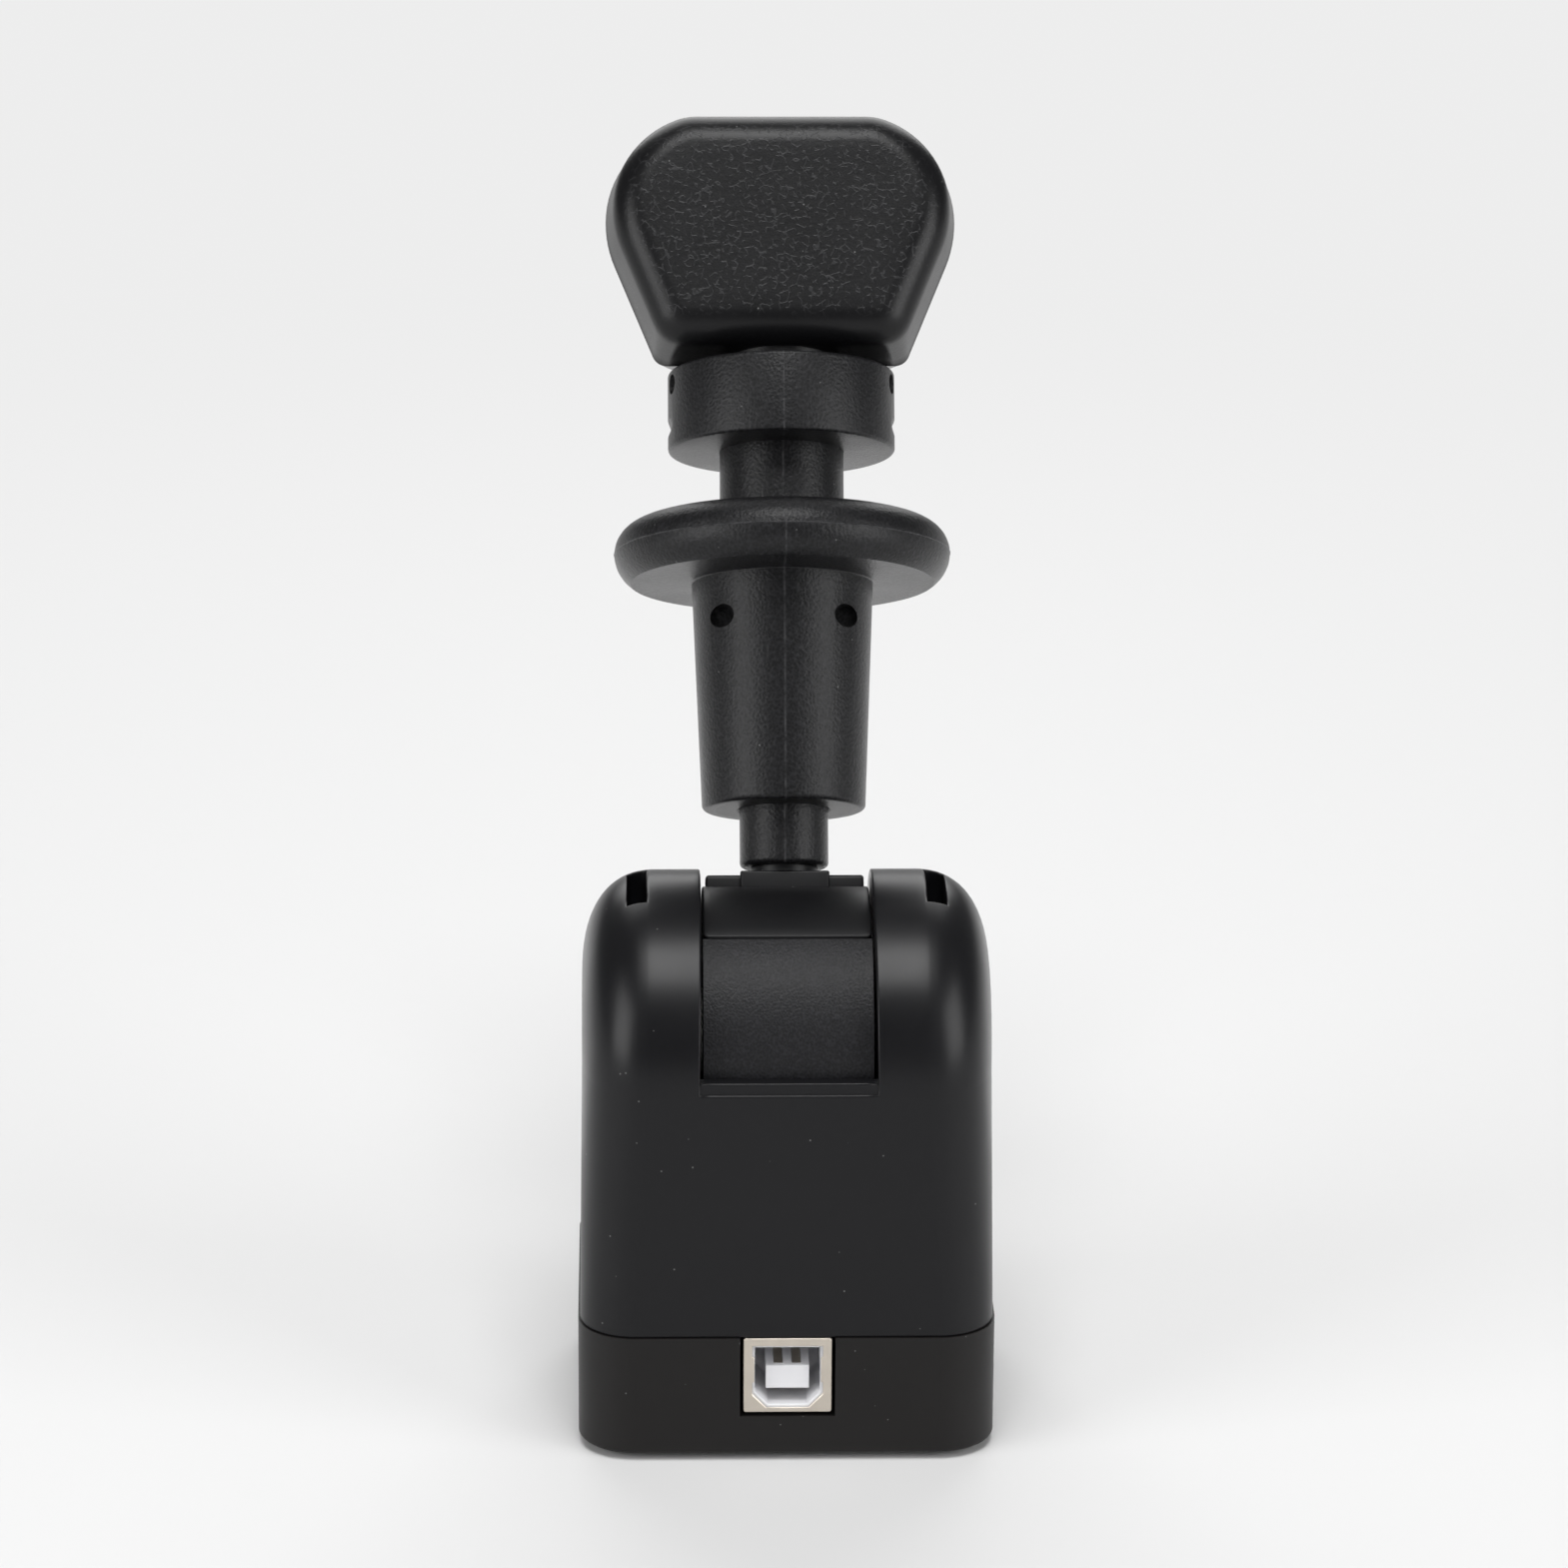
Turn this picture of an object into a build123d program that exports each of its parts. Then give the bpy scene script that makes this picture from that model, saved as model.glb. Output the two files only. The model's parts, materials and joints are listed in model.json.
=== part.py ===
from build123d import *
from math import cos, radians, sin, sqrt, tan
import os

# A park brake lever for a driving simulator, with a USB-B socket in its base.
# A drum turns between the two cheeks of the housing and carries the lever.
# The origin is on the floor under the pivot, +Z is up and the socket faces -Y.
# Lengths are in millimetres and angles in degrees.

# Housing shell
shell_width = 55.5  # across the cheeks at the height of the pivot
shell_radius = 23.0  # of the round top about the pivot
shell_wall = 2.2
side_draft = 0.6  # each side leans in by this angle from the seam up to the pivot
corner_across = 8.8  # rounding of a cheek's edge, along X
corner_radial = 12.2  # rounding of a cheek's edge, along the radius
seam_corner = 7.5  # plan radius of the upright corners at the seam
pivot_over_seam = 34.5

# Slot between the cheeks
slot_width_top = 23.2
slot_width_pivot = 23.9
ledge_outer_rise = 0.5  # height of the slot's lower edge above the pivot, at the outer face
ledge_inner_rise = 2.1  # and at the drum
vent_width = 2.6  # slot in the top of each cheek
vent_inset = 7.45  # from a cheek's side to the middle of its vent
vent_half_angle = 15.8

# Drum bay inside the shell
cut_beyond = 5.0  # the slot's cutting body reaches this far past the shell's face
bay_wall = 2.0
deck_gap = 4.1  # between the drum and the deck under it
deck_thickness = 2.2
bearing_boss_radius = 7.0
sensor_room = 10.6  # left beside a bearing, inside the cheek's side
drum_bay_gap = 0.4  # between the drum and the bay's front and back walls

# Base tray
tray_height = 17.1
tray_step = 0.25  # the tray stands proud of the shell by this much all round
tray_wall = 2.2
tray_floor = 2.4
tray_edge_round = 0.6
lip_height = 1.5
lip_thickness = 1.1
lip_clearance = 0.15

# Tray screws and their bosses
tray_screw_inset_x = 6.45  # from the housing's side at the pivot
tray_screw_inset_y = 6.2
tray_boss_radius = 3.5
tray_screw_radius = 1.5
tray_screw_head_radius = 2.7
tray_screw_head_height = 1.9
tray_screw_length = 17.0  # under the head
tray_screw_head_depth = 7.0  # from the tray's underside up to the seat of the head
shell_boss_height = 15.0
boss_web = 1.5
screw_clearance = 0.05

# Rubber pad let into the tray's underside
pad_inset = 3.4  # from the tray's sides
pad_corner = 4.6
pad_proud = 1.0
pad_recess = 0.8
pad_hole_radius = 4.2  # round each threaded insert
pad_clearance = 0.1

# Threaded inserts for bolting the base down
insert_spacing_x = 24.0
insert_spacing_y = 18.0
insert_radius = 3.0
insert_length = 6.0
insert_core_radius = 1.65
insert_boss_wall = 1.6
insert_relief = 1.0  # depth of the wider blind hole above an insert
insert_relief_radius = 2.1
insert_clearance = 0.03

# Circuit board
board_side_gap = 0.4  # to the tray's screw bosses
board_end_inset = 4.2  # from the housing's front and back
board_thickness = 1.6
board_screw_inset_x = 3.0
board_screw_inset_y = 2.8
board_screw_radius = 1.0
board_screw_length = 8.0
board_screw_head_radius = 1.9
board_screw_head_height = 1.2
board_post_radius = 2.6
board_gap = 0.05
chip_side = 7.0
chip_height = 1.0
chip_stand = 0.1
chip_x = -5.0
chip_y = 4.0
lead_count = 8  # on each side
lead_pitch = 0.8
lead_reach = 0.9
lead_width = 0.36
lead_height = 0.35
regulator_size = (6.4, 3.6, 1.6)
regulator_place = (7.0, 11.5)
crystal_size = (10.4, 4.2, 3.4)
crystal_place = (-5.0, 13.0)
capacitor_size = (1.3, 2.0, 0.8)
capacitor_place = (-8.0, -6.0)
capacitor_count = 5
capacitor_pitch = 2.2

# USB-B socket
usb_width = 12.04
usb_height = 10.9
usb_depth = 16.0
usb_sheet = 0.4
usb_setback = 0.3  # of the metal face behind the tray's outer face
usb_top_gap = 0.15  # under the seam
usb_gap_side = 0.43
usb_gap_bottom = 0.46
usb_lip = 1.22  # width of the metal frame beside the opening
usb_bay_width = 8.9
usb_bay_height = 8.4
usb_bay_cut_width = 1.75  # of the cut across each lower corner
usb_bay_cut_height = 1.85
usb_bay_depth = 10.0
usb_bay_drop = 0.25  # the opening sits this far below the middle of the frame
usb_tab_height = 3.7
usb_tab_rise = 0.8
usb_insert_gap = 0.05
tongue_width = 5.9
tongue_height = 3.35
tongue_length = 9.2
tongue_drop = 0.74
contact_width = 1.15
contact_pitch = 2.5
contact_thickness = 0.25
contact_length = 8.15

# Pivot
shaft_radius = 4.0
shaft_fit = 0.03
shaft_overhang = 2.85  # past the bush on the sensor side
shaft_overhang_left = 1.9
bush_wall = 1.0
bush_flange_radius = 6.8
bush_flange = 0.7
bush_seat_fit = 0.02
bush_flange_clearance = 0.15
axial_play = 0.1
clip_thickness = 0.8
clip_radius = 6.2
clip_groove_depth = 0.7
clip_mouth = 5.6
clip_play = 0.1
magnet_radius = 2.5
magnet_length = 2.5
magnet_proud = 0.1
drum_pin_radius = 1.0
drum_pin_x = 6.5

# Drum
drum_inset = 2.7  # below the crest of the cheeks
drum_wall = 2.2
drum_side_gap = 0.2  # to the cheek, where the slot is narrowest
drum_disc = 2.0
drum_half_angle = 124.0
hub_radius = 7.0
hub_gap_half = 2.2
same_body_gap = 0.05

# Smooth cover on the drum
cover_rise = 0.3  # above the drum
cover_thickness = 1.35
cover_half_angle = 56.0
cover_side_gap = 0.22  # to the cheek, where the slot is narrowest
cover_corner = 0.8
block_width = 12.2
block_depth = 8.8
block_rise = 1.8  # above the cover
wing_width = 21.7
wing_depth = 5.4
wing_rise = 1.45
seat_radius = 4.6
seat_height = 0.95

# Stem
rod_radius = 6.1
rod_edge_round = 0.7
neck_radius = 8.6
neck_start_in_sleeve = 22.1  # from the sleeve's lower end
tenon_radius = 4.0
tenon_fit = 0.06
nut_across_flats = 13.0
nut_height = 2.6
nut_seat_drop = 4.7  # below the drum's rim
stem_bore_fit = 0.08
spigot_radius = 6.0
spigot_in_knob = 20.0
spigot_groove_in_knob = 10.0
spigot_groove_width = 3.0
spigot_groove_depth = 1.2

# Lift collar: a tapered sleeve with a round flange
lift_travel = 8.0
bare_rod = 8.05  # from the stem's seat up to the sleeve
sleeve_length = 31.7
sleeve_radius_low = 11.25
sleeve_radius_top = 12.55
sleeve_bore_radius = 9.4
sleeve_edge_round = 0.7
guide_drop = 4.7  # of the guide bore's lower end, below the flange
guide_fit = 0.08
flange_thickness = 8.4
flange_radius = 23.25
flange_flat_radius = 21.0
flange_parting = 4.1  # height of the widest line above the underside
flange_top_flat_radius = 19.0
sleeve_hole_radius = 1.6
sleeve_hole_drop = 6.1  # below the flange
sleeve_hole_x = 8.5
sleeve_hole_stop = 4.0  # the holes end this far from the middle plane

# Lock mechanism in the sleeve
bush_length = 4.0
bush_fit = 0.02
bush_rod_fit = 0.1
cross_pin_radius = 1.5
cross_pin_length = 18.0
lock_rod_radius = 2.0
lock_rod_tail = 3.2
lock_tip_gap = 0.3
washer_thickness = 0.8
washer_fit = 0.15
spring_wire_radius = 0.5
spring_turns = 4.5
spring_mean_radius = 7.6
spring_end_gap = 0.05

# Gate plate inside the drum
gate_thickness = 3.0
gate_gap = 1.0  # between the stem's end and the gate's rim
gate_neck_half = 7.4
gate_bore_gap = 0.3
gate_foot_width = 9.0
gate_notch_depth = 2.2
gate_notch_half = 2.5
gate_screw_radius = 1.5
gate_screw_over_foot = 1.8  # from the lower end of a screw's boss up to the screw's tip
gate_screw_head_radius = 2.6
gate_screw_head_height = 1.8
gate_screw_y = 4.6
gate_boss_radius = 3.2
gate_boss_gap = 1.8  # over the circuit board

# Knob collar
knob_collar_gap = 10.1  # above the flange at rest
knob_collar_height = 11.1
knob_collar_radius = 15.75
knob_collar_edge = 0.5
knob_pin_radius = 1.45
knob_pin_drop = 2.2  # below the collar's top
knob_pin_recess = 1.6
scallop_radius = 1.7
scallop_depth = 0.6
scallop_rise = 3.3

# Knob
knob_gap = 1.3  # above the knob collar
knob_height = 34.5
knob_half_width = 24.35
knob_half_thickness = 12.0
knob_top_half = 11.7
knob_corner_drop = 14.2  # from the top down to the widest line
knob_corner_tight = 9.1  # radius of the rounding where it meets the top
knob_waist_radius = 16.0
knob_side_slope = 22.4
knob_foot_round = 2.0
knob_draft = 7.0
knob_edge_round = 4.6
knob_wall = 2.4
knob_boss_radius = 8.2

# Sensor
sensor_board_width = 14.0
sensor_board_top = 5.6  # above the pivot
sensor_board_thickness = 1.0
sensor_air_gap = 0.8
hall_width = 5.0
hall_height = 4.0
hall_thickness = 1.3
sensor_post_radius = 2.3
sensor_post_y = 4.7
sensor_post_drop = 15.0  # below the pivot
sensor_screw_length = 5.0
header_pitch = 2.54
header_body = 2.5
header_pins_count = 4
header_pin_side = 0.64
header_from_edge = 2.6

# Lever position in the parked state: it leans away from the socket
park_angle = 28.0

# Heights that follow
tray_bottom = pad_proud
seam_z = tray_bottom + tray_height
pivot_z = seam_z + pivot_over_seam
drum_radius = shell_radius - drum_inset
deck_top = pivot_z - drum_radius - deck_gap
deck_bottom = deck_top - deck_thickness
slot_half_pivot = slot_width_pivot / 2
slot_half_top = slot_width_top / 2
slot_half_least = min(slot_half_pivot, slot_half_top)
draft_growth = pivot_over_seam * tan(radians(side_draft))
seam_half_x = shell_width / 2 + draft_growth
seam_half_y = shell_radius + draft_growth
tray_half_x = seam_half_x + tray_step
tray_half_y = seam_half_y + tray_step
board_bottom = seam_z - usb_top_gap + board_gap
board_top = board_bottom + board_thickness
gate_boss_foot = board_top + gate_boss_gap
gate_screw_length = deck_top + gate_thickness - gate_boss_foot - gate_screw_over_foot
bay_half_y = drum_radius + drum_bay_gap
bearing_end = shell_width / 2 - sensor_room
vent_offset = shell_width / 2 - vent_inset
tray_screw_x = shell_width / 2 - tray_screw_inset_x
tray_screw_y = shell_radius - tray_screw_inset_y
board_width = 2 * (tray_screw_x - tray_boss_radius - board_side_gap)
board_depth = 2 * (shell_radius - board_end_inset)
board_screw_x = board_width / 2 - board_screw_inset_x
board_screw_y = board_depth / 2 - board_screw_inset_y
pivot_axis = Axis((0, 0, pivot_z), (1, 0, 0))

# Places along the lever, measured from the pivot
cover_radius = drum_radius + cover_rise
block_top = cover_radius + block_rise
wing_top = cover_radius + wing_rise
seat_top = block_top + seat_height
nut_seat = drum_radius - nut_seat_drop
tenon_start = nut_seat - nut_height
gate_radius = tenon_start - gate_gap
lock_tip = gate_radius + lock_tip_gap
sleeve_start = seat_top + bare_rod
neck_start = sleeve_start + neck_start_in_sleeve
flange_start = sleeve_start + sleeve_length
guide_start = flange_start - guide_drop
knob_collar_start = flange_start + flange_thickness + knob_collar_gap
knob_start = knob_collar_start + knob_collar_height + knob_gap
spigot_groove_start = knob_start + spigot_groove_in_knob
spigot_end = knob_start + spigot_in_knob


# Helpers

def rod(radius, start, end, x=0.0, y=0.0):
    """An upright round bar from height start to height end."""
    return Pos(x, y, start) * Cylinder(radius, end - start, align=(Align.CENTER, Align.CENTER, Align.MIN))


def cross_rod(radius, start, end, y=0.0, z=0.0):
    """A round bar along X from start to end."""
    bar = Cylinder(radius, end - start, align=(Align.CENTER, Align.CENTER, Align.MIN))
    return Pos(start, y, z) * Rot(0, 90, 0) * bar


def block(x0, x1, y0, y1, z0, z1):
    """A box between two corners."""
    return Pos((x0 + x1) / 2, (y0 + y1) / 2, (z0 + z1) / 2) * Box(x1 - x0, y1 - y0, z1 - z0)


def turned(points):
    """A solid turned about Z from a closed outline of (radius, height) points."""
    outline = Polyline(*[(r, 0, z) for r, z in points], close=True)
    return revolve(make_face(outline), Axis.Z)


def four(x, y):
    """The four corner places of a rectangle."""
    return [(sx * x, sy * y) for sx in (-1, 1) for sy in (-1, 1)]


def group(solids):
    """Separate solids kept as one sub-part."""
    return Compound(children=list(solids))


def plan_face(half_x, half_y, corner_x, corner_y, z):
    """A rectangle at height z whose corners are quarter ellipses."""
    ix = half_x - corner_x
    iy = half_y - corner_y
    edges = [
        Line((-ix, -half_y), (ix, -half_y)),
        EllipticalCenterArc((ix, -iy), corner_x, corner_y, 270, arc_size=90),
        Line((half_x, -iy), (half_x, iy)),
        EllipticalCenterArc((ix, iy), corner_x, corner_y, 0, arc_size=90),
        Line((ix, half_y), (-ix, half_y)),
        EllipticalCenterArc((-ix, iy), corner_x, corner_y, 90, arc_size=90),
        Line((-half_x, iy), (-half_x, -iy)),
        EllipticalCenterArc((-ix, -iy), corner_x, corner_y, 180, arc_size=90),
    ]
    return Pos(0, 0, z) * make_face(Curve() + edges)


def body_form(inset, bottom):
    """The closed outer form of the shell, taken in by inset all round and cut off at height bottom."""
    across = corner_across - inset
    radial = corner_radial - inset
    corner = seam_corner - inset
    share = (pivot_z - bottom) / pivot_over_seam
    low_x = shell_width / 2 - inset + share * draft_growth
    low_y = shell_radius - inset + share * draft_growth
    low_cx = across + share * (corner - across)
    low_cy = radial + share * (corner - radial)
    top = plan_face(shell_width / 2 - inset, shell_radius - inset, across, radial, pivot_z)
    low = plan_face(low_x, low_y, low_cx, low_cy, bottom)
    skirt = loft([low, top], ruled=True)
    far_half = top & block(-shell_width, shell_width, 0, shell_width, pivot_z - 1, pivot_z + 1)
    dome = revolve(far_half, pivot_axis, 180)
    if dome.bounding_box().max.Z < pivot_z + 1:
        dome = revolve(far_half, pivot_axis, -180)
    return skirt + dome


def slot_prism(half_y, bottom):
    """The slot between the cheeks, wider at the pivot than at the crest, over a given depth in Y."""
    crest = pivot_z + shell_radius
    rise = (slot_half_top - slot_half_pivot) / shell_radius
    over = 3.0
    top_half = slot_half_top + rise * over
    outline = Polyline(
        (-slot_half_pivot, bottom), (slot_half_pivot, bottom), (slot_half_pivot, pivot_z),
        (top_half, crest + over), (-top_half, crest + over), (-slot_half_pivot, pivot_z), close=True,
    )
    face = make_face(Plane.XZ * outline)
    return extrude(face, half_y, both=True)


# Housing shell

def make_housing_shell():
    outer = body_form(0, seam_z)
    shell = outer - body_form(shell_wall, seam_z)
    wall_x = slot_half_pivot + bay_wall
    core = block(-wall_x, wall_x, -shell_width, shell_width, deck_bottom, pivot_z + 2 * shell_radius)
    added = core
    for side in (-1, 1):
        reach = side * bearing_end
        added += cross_rod(bearing_boss_radius, min(0, reach), max(0, reach), 0, pivot_z)
    for y in (-gate_screw_y, gate_screw_y):
        added += rod(gate_boss_radius, gate_boss_foot, deck_top, gate_screw_x, y)
    for y in (-sensor_post_y, sensor_post_y):
        added += cross_rod(sensor_post_radius, 0, sensor_board_x, y, sensor_post_z)
    shell += added & body_form(shell_wall / 2, gate_boss_foot - 1)
    bosses = []
    for x, y in four(tray_screw_x, tray_screw_y):
        sx = 1 if x > 0 else -1
        sy = 1 if y > 0 else -1
        top = seam_z + shell_boss_height
        start = seam_z + same_body_gap
        bosses.append(rod(tray_boss_radius, start, top, x, y))
        outer_x = sorted((x, sx * seam_half_x))
        outer_y = sorted((y, sy * seam_half_y))
        web = boss_web / 2
        root = start + lip_height + lip_clearance
        bosses.append(block(*outer_x, y - web, y + web, root, top))
        bosses.append(block(x - web, x + web, *outer_y, root, top))
    shell += (Part() + bosses) & body_form(shell_wall / 2, seam_z)
    # the drum bay, then the slot above its sloping lower edge
    shell -= slot_prism(bay_half_y, deck_top)
    slope = (ledge_inner_rise - ledge_outer_rise) / (shell_radius - bay_half_y)
    reach = shell_radius + cut_beyond
    low = ledge_outer_rise - slope * (reach - shell_radius)
    high = 3 * shell_radius
    for side in (-1, 1):
        wedge = Polyline(
            (side * bay_half_y * 0.5, pivot_z + ledge_inner_rise),
            (side * bay_half_y, pivot_z + ledge_inner_rise),
            (side * reach, pivot_z + low),
            (side * reach, pivot_z + high),
            (side * bay_half_y * 0.5, pivot_z + high),
            close=True,
        )
        window = extrude(make_face(Plane.YZ * wedge), shell_width, both=True)
        shell -= slot_prism(reach, pivot_z - shell_radius) & window
    # bearings, vents and screw holes
    shell -= cross_rod(bush_outer_radius + bush_seat_fit, -bearing_end - 1, bearing_end + 1, 0, pivot_z)
    spot = bush_flange_radius + bush_flange_clearance
    shell -= cross_rod(spot, -slot_half_pivot, slot_half_pivot, 0, pivot_z)
    vent_half = shell_radius * sin(radians(vent_half_angle))
    for side in (-1, 1):
        x = side * vent_offset
        shell -= block(x - vent_width / 2, x + vent_width / 2, -vent_half, vent_half,
                       pivot_z + bearing_boss_radius + shell_wall, pivot_z + shell_radius + 1)
    for x, y in four(tray_screw_x, tray_screw_y):
        hole_end = tray_bottom + tray_screw_head_depth + tray_screw_length + 1
        shell -= rod(tray_screw_radius + screw_clearance, seam_z - 1, hole_end, x, y)
    for y in (-gate_screw_y, gate_screw_y):
        end = deck_top + gate_thickness - gate_screw_length - 0.5
        shell -= rod(gate_screw_radius + screw_clearance, end, deck_top + 1, gate_screw_x, y)
    for y in (-sensor_post_y, sensor_post_y):
        start = sensor_board_x + sensor_board_thickness - sensor_screw_length - 0.5
        shell -= cross_rod(board_screw_radius + screw_clearance, start, sensor_board_x + 1, y, sensor_post_z)
    return shell


# Base tray

def make_base_tray():
    outer_corner = seam_corner + tray_step
    outer_face = plan_face(tray_half_x, tray_half_y, outer_corner, outer_corner, tray_bottom)
    tray = extrude(outer_face, tray_height)
    tray = fillet(tray.edges().group_by(Axis.Z)[0], tray_edge_round)
    inner_corner = outer_corner - tray_wall
    inner = plan_face(tray_half_x - tray_wall, tray_half_y - tray_wall, inner_corner, inner_corner,
                      tray_bottom + tray_floor)
    tray -= extrude(inner, tray_height)
    # a lip that keys into the shell
    lip_x = seam_half_x - shell_wall - lip_clearance
    lip_y = seam_half_y - shell_wall - lip_clearance
    lip_corner = seam_corner - shell_wall - lip_clearance
    ring = plan_face(lip_x, lip_y, lip_corner, lip_corner, seam_z - tray_wall)
    hole = plan_face(lip_x - lip_thickness, lip_y - lip_thickness, lip_corner - lip_thickness,
                     lip_corner - lip_thickness, seam_z - tray_wall)
    lip = extrude(ring - hole, tray_wall + lip_height)
    tray += lip & body_form(shell_wall + lip_clearance, seam_z - tray_wall)
    added = []
    holes = []
    for x, y in four(tray_screw_x, tray_screw_y):
        added.append(rod(tray_boss_radius, tray_bottom + tray_floor / 2, seam_z, x, y))
        seat = tray_bottom + tray_screw_head_depth
        holes.append(rod(tray_screw_head_radius + 2 * screw_clearance, tray_bottom - 1, seat, x, y))
        holes.append(rod(tray_screw_radius + screw_clearance, seat - 1, seam_z + 1, x, y))
    for x, y in four(board_screw_x, board_screw_y):
        added.append(rod(board_post_radius, tray_bottom + tray_floor / 2, board_bottom - board_gap, x, y))
        end = board_top - board_screw_length - 0.5
        holes.append(rod(board_screw_radius + screw_clearance, end, board_top, x, y))
    for x, y in four(insert_spacing_x / 2, insert_spacing_y / 2):
        wall = insert_radius + insert_boss_wall
        top = tray_bottom + insert_length + insert_relief
        added.append(rod(wall, tray_bottom + tray_floor / 2, top + insert_boss_wall, x, y))
        end = tray_bottom + insert_length
        holes.append(rod(insert_radius + insert_clearance, tray_bottom - 1, end, x, y))
        holes.append(rod(insert_relief_radius, end - 1, top, x, y))
    tray = tray + added - holes - rubber_pad_form(pad_clearance, tray_bottom - 1)
    # the lip stops short of the shell's corner bosses
    near_x = tray_screw_x - tray_boss_radius - lip_clearance
    near_y = tray_screw_y - tray_boss_radius - lip_clearance
    for sx, sy in four(1, 1):
        corner_x = sorted((sx * near_x, sx * shell_width))
        corner_y = sorted((sy * near_y, sy * shell_width))
        tray -= block(*corner_x, *corner_y, seam_z, seam_z + lip_height + 1)
    half = usb_width / 2 + usb_gap_side
    tray -= block(-half, half, -tray_half_y - 1, -seam_half_y + 2 * shell_wall + lip_thickness,
                  usb_bottom - usb_gap_bottom, seam_z + lip_height + 1)
    return tray


def make_screw(radius, length, head_radius, head_height):
    """A screw with its head's seat at height 0, its shank upwards and a cross recess in the head."""
    screw = rod(radius, 0, length) + rod(head_radius, -head_height, 0)
    tip = screw.edges().group_by(Axis.Z)[-1]
    screw = chamfer(tip, radius * 0.4)
    rim = screw.edges().group_by(Axis.Z)[0]
    screw = fillet(rim, head_height * 0.3)
    arm = head_radius * 0.6
    width = head_radius * 0.16
    depth = head_height * 0.55
    cross = block(-arm, arm, -width, width, -head_height - 1, -head_height + depth)
    cross += block(-width, width, -arm, arm, -head_height - 1, -head_height + depth)
    return screw - cross


def make_tray_screws():
    screw = make_screw(tray_screw_radius, tray_screw_length, tray_screw_head_radius, tray_screw_head_height)
    seat = tray_bottom + tray_screw_head_depth
    return group([Pos(x, y, seat) * screw for x, y in four(tray_screw_x, tray_screw_y)])


def rubber_pad_form(extra, bottom):
    """The pad's plate from height bottom up to its seat, grown by extra, with a hole round each insert."""
    half_x = tray_half_x - pad_inset + extra
    half_y = tray_half_y - pad_inset + extra
    corner = pad_corner + extra
    plate = extrude(plan_face(half_x, half_y, corner, corner, bottom), tray_bottom + pad_recess - bottom)
    for x, y in four(insert_spacing_x / 2, insert_spacing_y / 2):
        plate -= rod(pad_hole_radius - extra, bottom - 1, tray_bottom + tray_floor, x, y)
    return plate


def make_rubber_pad():
    pad = rubber_pad_form(0, 0)
    return fillet(pad.edges().group_by(Axis.Z)[0], pad_proud * 0.4)


def make_mount_inserts():
    groove = insert_radius * 0.1
    step = insert_length / 5
    core = insert_core_radius
    outline = [(core, 0), (insert_radius, 0), (insert_radius, step), (insert_radius - groove, step * 1.25),
               (insert_radius - groove, step * 1.75), (insert_radius, step * 2), (insert_radius, step * 3),
               (insert_radius - groove, step * 3.25), (insert_radius - groove, step * 3.75),
               (insert_radius, step * 4), (insert_radius, insert_length), (core, insert_length)]
    insert = turned(outline)
    places = four(insert_spacing_x / 2, insert_spacing_y / 2)
    return group([Pos(x, y, tray_bottom) * insert for x, y in places])


# Circuit board and socket

def make_main_board():
    half_x = board_width / 2
    half_y = board_depth / 2
    board = block(-half_x, half_x, -half_y, half_y, board_bottom, board_top)
    board = fillet(board.edges().filter_by(Axis.Z), 1.0)
    for x, y in four(board_screw_x, board_screw_y):
        board -= rod(board_screw_radius + 2 * screw_clearance, board_bottom - 1, board_top + 1, x, y)
    for y in header_rows:
        board -= rod(header_pin_side * 0.75, board_bottom - 1, board_top + 1, header_leg_x, y)
    return board


def make_board_screws():
    screw = Rot(180, 0, 0) * make_screw(board_screw_radius, board_screw_length, board_screw_head_radius,
                                        board_screw_head_height)
    return group([Pos(x, y, board_top) * screw for x, y in four(board_screw_x, board_screw_y)])


def make_microcontroller():
    half = chip_side / 2
    body = block(-half, half, -half, half, chip_stand, chip_height)
    mark = chip_side * 0.06
    body -= rod(mark, chip_height * 0.85, chip_height + 1, half - 3 * mark, half - 3 * mark)
    legs = []
    for i in range(lead_count):
        along = (i - (lead_count - 1) / 2) * lead_pitch
        for turn in (0, 90, 180, 270):
            leg = block(half - lead_width / 2, half + lead_reach,
                        along - lead_width / 2, along + lead_width / 2, 0, lead_height)
            legs.append(Rot(0, 0, turn) * leg)
    return Pos(chip_x, chip_y, board_top) * (body + legs)


def board_piece(size, place):
    """A box standing on the board."""
    x, y, z = size
    return Pos(place[0], place[1], board_top) * block(-x / 2, x / 2, -y / 2, y / 2, 0, z)


def make_board_chips():
    """Small parts on the top of the board: a regulator, a crystal can and a row of chip capacitors."""
    parts = [board_piece(regulator_size, regulator_place)]
    can = board_piece(crystal_size, crystal_place)
    parts.append(fillet(can.edges().filter_by(Axis.Z), crystal_size[1] * 0.45))
    for i in range(capacitor_count):
        place = (capacitor_place[0] + i * capacitor_pitch, capacitor_place[1])
        parts.append(board_piece(capacitor_size, place))
    return group(parts)


def usb_opening(extra, y0, y1):
    """The D-shaped way into the socket, grown by extra all round, with its cut corners downwards."""
    half = usb_bay_width / 2 + extra
    up = usb_bay_height / 2 + extra
    top = usb_middle - usb_bay_drop + up
    low = top - 2 * up
    slant = usb_bay_cut_width / usb_bay_cut_height
    cut_x = usb_bay_cut_width + extra * (1 + slant - sqrt(1 + slant ** 2))
    cut_z = usb_bay_cut_height + extra * (1 + 1 / slant - sqrt(1 + 1 / slant ** 2))
    outline = Polyline(
        (-half, top), (half, top), (half, low + cut_z), (half - cut_x, low),
        (-half + cut_x, low), (-half, low + cut_z), close=True,
    )
    face = make_face(Plane.XZ * outline)
    return Pos(0, y1, 0) * extrude(face, y1 - y0, dir=(0, -1, 0))


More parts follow.
